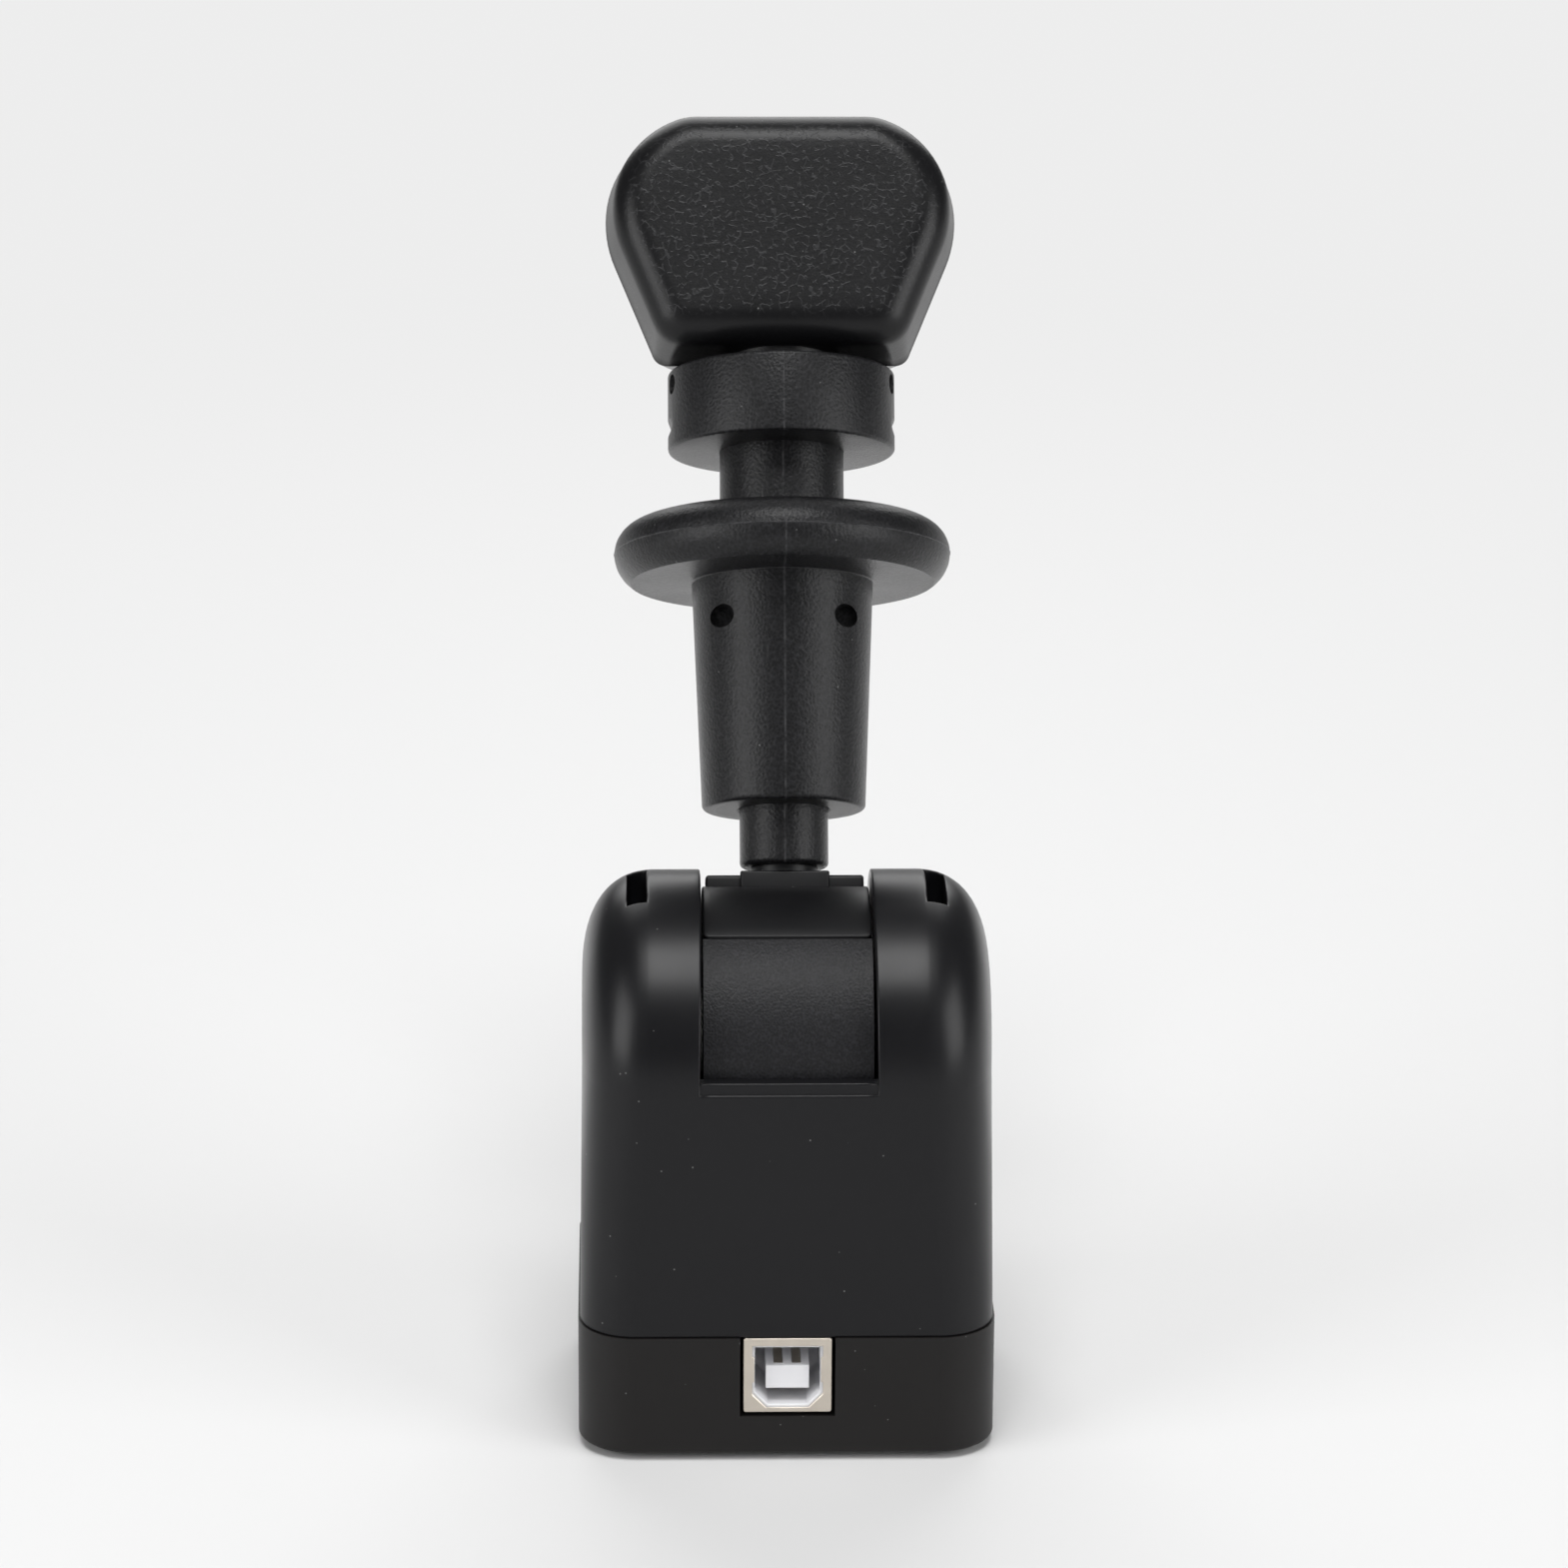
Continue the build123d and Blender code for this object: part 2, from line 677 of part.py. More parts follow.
def make_usb_shell():
    half = usb_width / 2
    shell = block(-half, half, usb_front, usb_front + usb_depth, usb_bottom, usb_top)
    shell = fillet(shell.edges().filter_by(Axis.Y), usb_sheet)
    s = usb_sheet
    back = usb_front + usb_depth
    shell -= block(-half + s, half - s, usb_front + s, back - s, usb_bottom + s, usb_top - s)
    shell -= usb_opening(usb_frame_gap, usb_front - 1, usb_front + 2 * s)
    # the sprung tabs that grip the plug, one in each side of the opening
    tab_low = usb_middle + usb_tab_rise - usb_tab_height / 2
    for side in (-1, 1):
        inner = side * (usb_bay_width / 2 + usb_insert_gap)
        outer = side * (usb_bay_width / 2 + usb_frame_gap + s)
        x0, x1 = sorted((inner, outer))
        shell += block(x0, x1, usb_front, usb_front + s * 0.8, tab_low, tab_low + usb_tab_height)
    return shell


def make_usb_insert():
    s = usb_sheet + usb_insert_gap
    half = usb_width / 2 - s
    front = usb_front + s
    insert = block(-half, half, front, usb_front + usb_depth - s, usb_bottom + s, usb_top - s)
    insert -= usb_opening(0, front - 1, front + usb_bay_depth)
    rise = usb_middle - tongue_drop
    y1 = front + usb_bay_depth
    tongue = block(-tongue_width / 2, tongue_width / 2, y1 - tongue_length, y1 + 1,
                   rise - tongue_height / 2, rise + tongue_height / 2)
    insert += tongue
    for x in (-contact_pitch / 2, contact_pitch / 2):
        for side in (-1, 1):
            z0, z1 = sorted((rise + side * (tongue_height / 2 - contact_thickness - usb_insert_gap),
                             rise + side * (tongue_height / 2 + 1)))
            half_slot = contact_width / 2 + usb_insert_gap
            insert -= block(x - half_slot, x + half_slot, y1 - contact_length - usb_insert_gap, y1, z0, z1)
    return insert


def make_usb_contacts():
    rise = usb_middle - tongue_drop
    y1 = usb_front + usb_sheet + usb_insert_gap + usb_bay_depth
    blades = []
    for x in (-contact_pitch / 2, contact_pitch / 2):
        for side in (-1, 1):
            outer = rise + side * tongue_height / 2
            z0, z1 = sorted((outer - side * contact_thickness, outer))
            x0 = x - contact_width / 2
            x1 = x + contact_width / 2
            blades.append(block(x0, x1, y1 - contact_length, y1 - usb_insert_gap, z0, z1))
    return group(blades)


# Parts on the pivot

def make_bush(side):
    """A flanged bush pressed into one side of the drum bay."""
    bush = cross_rod(bush_outer_radius, slot_half_pivot, bearing_end)
    bush += cross_rod(bush_flange_radius, slot_half_pivot - bush_flange, slot_half_pivot)
    bush -= cross_rod(shaft_radius + shaft_fit, 0, bearing_end + 1)
    bush = Pos(0, 0, pivot_z) * bush
    return bush if side > 0 else mirror(bush, Plane.YZ)


def make_pivot_shaft():
    shaft = cross_rod(shaft_radius, shaft_left, shaft_right)
    shaft = chamfer(shaft.edges().filter_by(GeomType.CIRCLE), 0.4)
    start = bearing_end + clip_play - screw_clearance
    end = bearing_end + clip_play + clip_thickness + screw_clearance
    groove = cross_rod(shaft_radius + 1, start, end)
    groove -= cross_rod(shaft_radius - clip_groove_depth, start, end)
    shaft -= groove
    shaft -= mirror(groove, Plane.YZ)
    pocket = shaft_right + magnet_proud - magnet_length
    shaft -= cross_rod(magnet_radius + shaft_fit, pocket, shaft_right + 1)
    shaft -= drum_pin_form(drum_pin_radius + shaft_fit)
    return lever_place * shaft


def make_retaining_clips():
    inner = shaft_radius - clip_groove_depth + shaft_fit
    start = bearing_end + clip_play
    clip = cross_rod(clip_radius, start, start + clip_thickness) - cross_rod(inner, start - 1, start + 2)
    half = clip_mouth / 2
    clip -= block(start - 1, start + 2, -half, half, -2 * clip_radius, 0)
    for turn in (-50, 50):
        clip -= Rot(turn, 0, 0) * cross_rod(inner * 0.3, start - 1, start + 2, 0, inner)
    return lever_place * group([clip, mirror(clip, Plane.YZ)])


def make_magnet():
    end = shaft_right + magnet_proud
    return lever_place * cross_rod(magnet_radius, end - magnet_length, end)


def drum_pin_form(radius):
    """The pin that ties the drum to the shaft, across both."""
    length = 2 * hub_radius - 0.6
    return Pos(drum_pin_x, 0, 0) * Rot(90, 0, 0) * Cylinder(radius, length)


def make_drum_pin():
    return lever_place * drum_pin_form(drum_pin_radius)


# Drum and cover

def fan(half_angle, reach, half_width):
    """A slice of a cylinder about the pivot, centred on the lever."""
    a = radians(half_angle)
    edge = (reach * sin(a), reach * cos(a))
    arc = ThreePointArc(edge, (0, reach), (-edge[0], edge[1]))
    outline = Curve() + [Line((0, 0), edge), arc, Line((-edge[0], edge[1]), (0, 0))]
    return extrude(make_face(Plane.YZ * outline), half_width, both=True)


def make_drum():
    half = slot_half_least - drum_side_gap
    inner = drum_radius - drum_wall
    drum = fan(drum_half_angle, drum_radius, half) - cross_rod(inner, -half - 1, half + 1)
    hub_end = slot_half_pivot - bush_flange - axial_play
    pad_half = nut_across_flats / sqrt(3) + 0.5
    pad = block(-pad_half, pad_half, -pad_half, pad_half, nut_seat, drum_radius)
    drum += pad & cross_rod(inner + drum_wall * 0.3, -half, half)
    for side in (-1, 1):
        x0, x1 = sorted((side * (half - drum_disc), side * half))
        drum += cross_rod(drum_radius, x0, x1)
        x0, x1 = sorted((side * hub_end, side * (max(half, hub_end) + 1)))
        drum -= cross_rod(bush_flange_radius + bush_flange_clearance, x0, x1)
        x0, x1 = sorted((side * hub_gap_half, side * hub_end))
        drum += cross_rod(hub_radius, x0, x1)
    floor = cover_radius - cover_thickness - same_body_gap
    recess = fan(cover_half_angle + 0.3, cover_radius + 1, half + 1)
    drum -= recess - cross_rod(floor, -half - 2, half + 2)
    drum -= cross_rod(shaft_radius + bush_seat_fit, -shell_width, shell_width)
    drum -= drum_pin_form(drum_pin_radius + bush_seat_fit)
    drum -= rod(tenon_radius + tenon_fit, gate_radius, cover_radius + 1)
    return lever_place * drum


def make_drum_cover():
    half = slot_half_least - cover_side_gap
    inner = cover_radius - cover_thickness
    cover = fan(cover_half_angle, cover_radius, half) - cross_rod(inner, -half - 1, half + 1)
    lines = cover.edges().filter_by(GeomType.LINE)
    ends = [e for e in lines if abs(e.length - cover_thickness) < 0.01]
    cover = fillet(ends, cover_corner)
    root = inner + cover_thickness * 0.4
    wing = block(-wing_width / 2, wing_width / 2, -wing_depth / 2, wing_depth / 2, root, wing_top)
    wing = fillet(wing.edges().filter_by(Axis.Y).group_by(Axis.Z)[-1], wing_rise * 0.4)
    boss = block(-block_width / 2, block_width / 2, -block_depth / 2, block_depth / 2, root, block_top)
    boss = fillet(boss.edges().group_by(Axis.Z)[-1], block_rise * 0.15)
    cover = cover + wing + boss + rod(seat_radius, root, seat_top)
    cover -= rod(tenon_radius + tenon_fit, 0, 2 * cover_radius)
    return lever_place * cover


# Stem and its nut

def make_lever_stem():
    collar_top = knob_collar_start + knob_collar_height
    groove_end = spigot_groove_start + spigot_groove_width
    waist = spigot_radius - spigot_groove_depth
    stem = turned([(0, tenon_start), (tenon_radius, tenon_start), (tenon_radius, seat_top),
                   (rod_radius, seat_top),
                   (rod_radius, neck_start), (neck_radius, neck_start), (neck_radius, collar_top),
                   (spigot_radius, collar_top), (spigot_radius, spigot_groove_start),
                   (waist, spigot_groove_start), (waist, groove_end), (spigot_radius, groove_end),
                   (spigot_radius, spigot_end), (0, spigot_end)])
    foot = [e for e in stem.edges().filter_by(GeomType.CIRCLE)
            if abs(e.radius - rod_radius) < 0.001 and abs(e.center().Z - seat_top) < 0.001]
    stem = fillet(foot, rod_edge_round)
    bore_end = cross_pin_z + lock_rod_tail + lift_travel + 0.6
    stem -= rod(lock_rod_radius + stem_bore_fit, tenon_start - 1, bore_end)
    slot_half = cross_pin_radius + stem_bore_fit
    low = cross_pin_z - slot_half
    high = cross_pin_z + lift_travel + slot_half
    stem -= block(-2 * rod_radius, 2 * rod_radius, -slot_half, slot_half, low, high)
    stem -= knob_pin_form(knob_pin_radius + same_body_gap, knob_collar_radius)
    return lever_place * stem


def make_stem_nut():
    nut = extrude(RegularPolygon(nut_across_flats / 2, 6, major_radius=False), nut_height)
    cone = Cone(nut_across_flats / 2 + nut_height, nut_across_flats / 2 - 0.6, nut_height * 1.2,
                align=(Align.CENTER, Align.CENTER, Align.MIN))
    nut = nut & Pos(0, 0, nut_height) * Rot(180, 0, 0) * Pos(0, 0, -nut_height * 0.1) * cone
    nut -= rod(tenon_radius + tenon_fit, -1, nut_height + 1)
    return lever_place * Pos(0, 0, nut_seat - nut_height) * nut


# Lift collar and what it carries

def make_lift_collar():
    top = flange_start + flange_thickness
    widest = flange_start + flange_parting
    guide = neck_radius + guide_fit
    drop = TangentArc((flange_radius, widest), (flange_flat_radius, flange_start), tangent=(0, -1))
    rise = TangentArc((flange_radius, widest), (flange_top_flat_radius, top), tangent=(0, 1))
    edges = [
        Line((sleeve_bore_radius, sleeve_start), (sleeve_radius_low, sleeve_start)),
        Line((sleeve_radius_low, sleeve_start), (sleeve_radius_top, flange_start)),
        Line((sleeve_radius_top, flange_start), (flange_flat_radius, flange_start)),
        drop,
        rise,
        Line((flange_top_flat_radius, top), (guide, top)),
        Line((guide, top), (guide, guide_start)),
        Line((guide, guide_start), (sleeve_bore_radius, guide_start)),
        Line((sleeve_bore_radius, guide_start), (sleeve_bore_radius, sleeve_start)),
    ]
    collar = revolve(make_face(Plane.XZ * (Curve() + edges)), Axis.Z)
    circles = collar.edges().filter_by(GeomType.CIRCLE)
    rim = [e for e in circles if abs(e.center().Z - sleeve_start) < 0.001
           and abs(e.radius - sleeve_radius_low) < 0.001]
    collar = fillet(rim, sleeve_edge_round)
    circles = collar.edges().filter_by(GeomType.CIRCLE)
    root = [e for e in circles if abs(e.center().Z - flange_start) < 0.001
            and abs(e.radius - sleeve_radius_top) < 0.001]
    collar = fillet(root, sleeve_edge_round)
    z = flange_start - sleeve_hole_drop
    reach = flange_radius
    for x in (-sleeve_hole_x, sleeve_hole_x):
        for y in (-reach, reach):
            y0, y1 = sorted((y, y * sleeve_hole_stop / reach))
            hole = Cylinder(sleeve_hole_radius, y1 - y0)
            collar -= Pos(x, (y0 + y1) / 2, z) * Rot(90, 0, 0) * hole
    return lever_place * collar


def make_sleeve_bush():
    inner = rod_radius + bush_rod_fit
    outer = sleeve_bore_radius - bush_fit
    bush = rod(outer, sleeve_start, sleeve_start + bush_length) - rod(inner, 0, neck_start)
    bush = chamfer(bush.edges().group_by(Axis.Z)[0].sort_by(SortBy.RADIUS)[0], 0.3)
    return lever_place * bush


def make_cross_pin():
    half = cross_pin_length / 2
    return lever_place * cross_rod(cross_pin_radius, -half, half, 0, cross_pin_z)


def make_lock_rod():
    bar = rod(lock_rod_radius, lock_tip, cross_pin_z + lock_rod_tail)
    bar = chamfer(bar.edges().group_by(Axis.Z)[0], lock_rod_radius * 0.25)
    bar = chamfer(bar.edges().group_by(Axis.Z)[-1], lock_rod_radius * 0.2)
    bar -= cross_rod(cross_pin_radius + bush_fit, -cross_pin_length, cross_pin_length, 0, cross_pin_z)
    return lever_place * bar


def make_spring_washer():
    low = washer_low
    washer = rod(sleeve_bore_radius - washer_fit, low, low + washer_thickness)
    return lever_place * (washer - rod(rod_radius + washer_fit, low - 1, low + 2))


def make_lift_spring():
    low = washer_low + washer_thickness + spring_end_gap + spring_wire_radius
    high = neck_start - spring_end_gap - spring_wire_radius
    pitch = (high - low) / spring_turns
    path = Pos(0, 0, low) * Helix(pitch, high - low, spring_mean_radius)
    start = path @ 0
    wire = Plane(origin=start, z_dir=path % 0) * Circle(spring_wire_radius)
    print("spring: least gap between turns", round(pitch - 2 * spring_wire_radius, 2))
    return lever_place * sweep(wire, path=path, is_frenet=True)


# Gate plate

def make_gate_plate():
    half = gate_thickness / 2
    plate = cross_rod(gate_radius, -half, half, 0, pivot_z)
    plate += block(-half, half, -gate_neck_half, gate_neck_half, deck_top, pivot_z)
    notch = block(-half - 1, half + 1, -gate_notch_half, gate_notch_half, gate_radius - gate_notch_depth,
                  gate_radius + 2)
    plate -= lever_place * notch
    plate -= cross_rod(shaft_radius + gate_bore_gap, -half - 1, half + 1, 0, pivot_z)
    neck = gate_neck_half
    foot = block(-half, gate_foot_width, -neck, neck, deck_top, deck_top + gate_thickness)
    foot = fillet(foot.edges().filter_by(Axis.Z).group_by(Axis.X)[-1], 1.5)
    plate += foot
    for y in (-gate_screw_y, gate_screw_y):
        plate -= rod(gate_screw_radius + 2 * screw_clearance, deck_top - 1, deck_top + gate_thickness + 1,
                     gate_screw_x, y)
    return plate


def make_gate_screws():
    screw = Rot(180, 0, 0) * make_screw(gate_screw_radius, gate_screw_length, gate_screw_head_radius,
                                        gate_screw_head_height)
    top = deck_top + gate_thickness
    return group([Pos(gate_screw_x, y, top) * screw for y in (-gate_screw_y, gate_screw_y)])


# Knob

def knob_face(inset, foot_round, y):
    """The knob's outline, taken in by inset, in the plane at y; heights are from the knob's lower end."""
    slope = radians(knob_side_slope)
    across = knob_half_width - knob_top_half
    over = knob_corner_drop - knob_corner_tight
    loose = (across ** 2 + over ** 2 - knob_corner_tight ** 2) / (2 * (across - knob_corner_tight))
    top = knob_height - inset
    waist = knob_height - knob_corner_drop
    tight_centre = Vector(knob_top_half, knob_height - knob_corner_tight)
    loose_centre = Vector(knob_half_width - loose, waist)
    bend = tight_centre - loose_centre
    turn = bend.get_angle(Vector(1, 0, 0))
    waist_centre = Vector(knob_half_width - knob_waist_radius, waist)
    arcs = [
        CenterArc(tight_centre, knob_corner_tight - inset, 90, turn - 90),
        CenterArc(loose_centre, loose - inset, turn, -turn),
        CenterArc(waist_centre, knob_waist_radius - inset, 0, -knob_side_slope),
    ]
    side_start = arcs[2] @ 1
    foot_x = side_start.X - (side_start.Y - inset) * tan(slope)
    edges = [Line((0, top), (knob_top_half, top)), *arcs, Line(side_start, (foot_x, inset)),
             Line((foot_x, inset), (0, inset))]
    half = Curve() + edges
    face = make_face(half + mirror(half, Plane.YZ) + Curve())
    feet = face.vertices().group_by(Axis.Y)[0]
    corners = [v for v in feet if abs(v.X) > knob_boss_radius]
    face = fillet(corners, foot_round)
    return Pos(0, y, knob_start) * Rot(90, 0, 0) * face


def knob_form(inset, depth, foot_round, face_foot_round):
    """Half of the knob's body on the socket side, narrowing from the parting plane to the face."""
    narrow = depth * tan(radians(knob_draft))
    parting = knob_face(inset, foot_round, 0)
    return loft([parting, knob_face(inset + narrow, face_foot_round, -depth)], ruled=True)


def make_knob_shell(side):
    """One half shell of the knob; side -1 faces the socket side and 1 the driver."""
    face_foot = knob_edge_round * 1.2
    outer = knob_form(0, knob_half_thickness, knob_foot_round, face_foot)
    rim = outer.edges().group_by(Axis.Y)[0]
    outer = fillet(rim, knob_edge_round)
    hollow = knob_form(knob_wall, knob_half_thickness - knob_wall, knob_foot_round, knob_foot_round)
    collar_top = knob_collar_start + knob_collar_height + same_body_gap
    boss = rod(knob_boss_radius, collar_top, spigot_end + knob_wall)
    boss &= block(-knob_boss_radius, knob_boss_radius, -knob_boss_radius, 0, 0, spigot_end + 2 * knob_wall)
    gap = same_body_gap
    groove_end = spigot_groove_start + spigot_groove_width
    waist = spigot_radius - spigot_groove_depth
    bore = turned([(0, 0), (spigot_radius + gap, 0), (spigot_radius + gap, spigot_groove_start + gap),
                   (waist + gap, spigot_groove_start + gap), (waist + gap, groove_end - gap),
                   (spigot_radius + gap, groove_end - gap), (spigot_radius + gap, spigot_end + gap),
                   (0, spigot_end + gap)])
    shell = outer - hollow + boss - bore
    if side > 0:
        shell = mirror(shell, Plane.XZ)
    return lever_place * shell


def knob_pin_form(radius, half_length):
    """The pin that holds the knob collar on the neck."""
    z = knob_collar_start + knob_collar_height - knob_pin_drop
    return cross_rod(radius, -half_length, half_length, 0, z)


def make_knob_pin():
    return lever_place * knob_pin_form(knob_pin_radius, knob_collar_radius - knob_pin_recess)


def make_knob_collar():
    end = knob_collar_start + knob_collar_height
    collar = rod(knob_collar_radius, knob_collar_start, end)
    collar = fillet(collar.edges().filter_by(GeomType.CIRCLE), knob_collar_edge)
    collar -= rod(neck_radius + same_body_gap, 0, end + 1)
    collar -= knob_pin_form(knob_pin_radius + same_body_gap, 2 * knob_collar_radius)
    for side in (-1, 1):
        x = side * (knob_collar_radius + scallop_radius - scallop_depth)
        scallop = Rot(90, 0, 0) * Cylinder(scallop_radius, knob_collar_radius)
        collar -= Pos(x, 0, knob_collar_start + scallop_rise) * scallop
    return lever_place * collar


# Sensor beside the magnet

def make_sensor_board():
    half = sensor_board_width / 2
    x1 = sensor_board_x + sensor_board_thickness
    board = block(sensor_board_x, x1, -half, half, sensor_board_low, pivot_z + sensor_board_top)
    board = fillet(board.edges().filter_by(Axis.X), 0.8)
    for y in (-sensor_post_y, sensor_post_y):
        hole = board_screw_radius + 2 * screw_clearance
        board -= cross_rod(hole, sensor_board_x - 1, x1 + 1, y, sensor_post_z)
    for y in header_rows:
        board -= cross_rod(header_pin_side * 0.75, sensor_board_x - 1, x1 + 1, y, header_pin_z)
    return board


def make_sensor_screws():
    screw = Rot(0, -90, 0) * make_screw(board_screw_radius, sensor_screw_length, board_screw_head_radius,
                                        board_screw_head_height)
    x = sensor_board_x + sensor_board_thickness
    return group([Pos(x, y, sensor_post_z) * screw for y in (-sensor_post_y, sensor_post_y)])


def make_hall_sensor():
    x0 = sensor_board_x - hall_thickness
    body = block(x0, sensor_board_x, -hall_width / 2, hall_width / 2, pivot_z - hall_height / 2,
                 pivot_z + hall_height / 2)
    return chamfer(body.edges().group_by(Axis.X)[0], 0.3)


def make_sensor_header():
    half = header_pitch * header_pins_count / 2
    x0 = header_leg_x - header_body / 2
    body = block(x0, x0 + header_body, -half, half, board_top, board_top + header_body)
    s = header_pin_side / 2 + screw_clearance
    for y in header_rows:
        top = header_pin_z + s
        body -= block(header_leg_x - s, x0 + header_body + 1, y - s, y + s, header_pin_z - s, top)
        body -= block(header_leg_x - s, header_leg_x + s, y - s, y + s, board_top - 1, top)
    return body


def make_header_pins():
    s = header_pin_side / 2
    end = sensor_board_x + sensor_board_thickness + 0.8
    pins = []
    for y in header_rows:
        pin = block(header_leg_x - s, end, y - s, y + s, header_pin_z - s, header_pin_z + s)
        pin += block(header_leg_x - s, header_leg_x + s, y - s, y + s, board_bottom - 1.0, header_pin_z + s)
        pins.append(pin)
    return group(pins)


# Places shared by several parts
usb_top = seam_z - usb_top_gap
usb_bottom = usb_top - usb_height
usb_middle = (usb_top + usb_bottom) / 2
usb_front = -tray_half_y + usb_setback
usb_frame_gap = (usb_width - usb_bay_width) / 2 - usb_lip
bush_outer_radius = shaft_radius + shaft_fit + bush_wall
shaft_right = bearing_end + shaft_overhang
shaft_left = -bearing_end - shaft_overhang_left
gate_screw_x = (gate_thickness / 2 + gate_foot_width) / 2
cross_pin_z = sleeve_start + bush_length + cross_pin_radius + bush_fit
washer_low = cross_pin_z + cross_pin_radius + bush_fit
sensor_board_x = shaft_right + magnet_proud + sensor_air_gap + hall_thickness
sensor_board_low = board_top - 0.5
sensor_post_z = pivot_z - sensor_post_drop
header_leg_x = board_width / 2 - header_from_edge
header_pin_z = board_top + header_body / 2
header_rows = [(i - (header_pins_count - 1) / 2) * header_pitch for i in range(header_pins_count)]
lever_place = Pos(0, 0, pivot_z) * Rot(-park_angle, 0, 0)

makers = {
    "housing_shell": make_housing_shell,
    "base_tray": make_base_tray,
    "tray_screws": make_tray_screws,
    "rubber_pad": make_rubber_pad,
    "mount_inserts": make_mount_inserts,
    "main_board": make_main_board,
    "board_screws": make_board_screws,
    "microcontroller": make_microcontroller,
    "board_chips": make_board_chips,
    "usb_shell": make_usb_shell,
    "usb_insert": make_usb_insert,
    "usb_contacts": make_usb_contacts,
    "bush_left": lambda: make_bush(-1),
    "bush_right": lambda: make_bush(1),
    "gate_plate": make_gate_plate,
    "gate_screws": make_gate_screws,
    "sensor_board": make_sensor_board,
    "sensor_screws": make_sensor_screws,
    "hall_sensor": make_hall_sensor,
    "sensor_header": make_sensor_header,
    "header_pins": make_header_pins,
    "pivot_shaft": make_pivot_shaft,
    "retaining_clips": make_retaining_clips,
    "magnet": make_magnet,
    "drum_pin": make_drum_pin,
    "drum": make_drum,
    "drum_cover": make_drum_cover,
    "lever_stem": make_lever_stem,
    "stem_nut": make_stem_nut,
    "knob_collar": make_knob_collar,
    "knob_pin": make_knob_pin,
    "knob_shell_rear": lambda: make_knob_shell(-1),
    "knob_shell_front": lambda: make_knob_shell(1),
    "lift_collar": make_lift_collar,
    "sleeve_bush": make_sleeve_bush,
    "cross_pin": make_cross_pin,
    "lock_rod": make_lock_rod,
    "spring_washer": make_spring_washer,
    "lift_spring": make_lift_spring,
}

os.makedirs("parts", exist_ok=True)
for name, maker in makers.items():
    export_step(maker(), f"parts/{name}.step")
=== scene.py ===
"""The looks of a park brake lever for a driving simulator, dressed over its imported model.

A boxy housing carries a drum in its slot; a stem stands on the drum with a lift collar
and a flat hand knob, and a USB-B socket sits in the base. Sizes are in millimetres and
angles in degrees; a mesh is written in metres. The origin is on the floor under the
pivot, +Z is up and the socket faces -Y. Points of the lever are worked out upright over
the pivot and then leaned back by the park angle.
"""
import json

import bmesh
import bpy
import numpy as np
from mathutils import Matrix, Vector


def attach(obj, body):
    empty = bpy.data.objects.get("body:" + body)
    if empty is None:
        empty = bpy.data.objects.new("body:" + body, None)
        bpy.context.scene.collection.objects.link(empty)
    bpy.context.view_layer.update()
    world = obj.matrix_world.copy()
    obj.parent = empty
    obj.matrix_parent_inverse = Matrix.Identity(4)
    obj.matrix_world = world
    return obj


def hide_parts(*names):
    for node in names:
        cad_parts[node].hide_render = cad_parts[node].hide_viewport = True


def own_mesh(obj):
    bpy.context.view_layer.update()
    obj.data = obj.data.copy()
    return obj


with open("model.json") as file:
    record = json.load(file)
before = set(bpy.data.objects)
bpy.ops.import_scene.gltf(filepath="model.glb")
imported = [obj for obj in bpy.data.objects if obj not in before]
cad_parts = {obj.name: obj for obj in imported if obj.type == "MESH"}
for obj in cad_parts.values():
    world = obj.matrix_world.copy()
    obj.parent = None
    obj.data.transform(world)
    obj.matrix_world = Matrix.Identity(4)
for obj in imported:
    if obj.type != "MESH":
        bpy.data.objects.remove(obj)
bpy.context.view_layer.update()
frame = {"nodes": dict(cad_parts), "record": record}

# Units and meshes
MM = 0.001
WELD = 0.002  # points nearer than this are one point
SHARP = 35  # edges with a larger angle between their faces are sharp
COPY_SHARP = 30  # the same on copies of CAD nodes
COPY_FLAT = 0.5  # faces of a copy that lie flatter than this become one
ARC_STEPS = 6  # points on the arc of a rounded corner
PAD_STEPS = 4  # loops from a pad's edge to its middle
BAR_STEPS = 48  # points round a cutting bar

# Housing
PIVOT_Z = 52.6
SEAM_Z = 18.1
SHELL_HALF_X = 27.75
SHELL_RADIUS = 23.0
DRAFT_GROWTH = 0.361  # how much wider each side is at the seam than at the pivot
CORNER_ACROSS = 8.8
CORNER_RADIAL = 12.2
SEAM_CORNER = 7.5
CORNER_POWER = 2.4
CORNER_SPREAD = 1.17  # size of the smoother corner over the plain ellipse's
SLOT_PIVOT = 11.95  # half width of the slot at the pivot
SLOT_NARROWING = 0.35  # up to the crest
LEDGE_OUTER = 0.5  # heights over the pivot
LEDGE_INNER = 2.1
LEDGE_HALF_Y = 22.65  # the ledge's upright face
LEDGE_SHELF = 1.005  # how far the narrow shelf under it reaches, over the face's own distance
BAY_HALF_Y = 20.7
DECK_Z = 28.2
VENT_END = 15.8  # angle from the crest
VENT_INNER = 18.95
VENT_WIDTH = 2.65
VENT_DEPTH = 7.0
EDGE_BREAK = 0.28
FLAT_STEPS = 8  # points across each half of the slot and across a cheek's flat
VENT_STEPS = 4  # points across a vent
CREST_STEPS = 6  # points along a vent, from its end to the crest

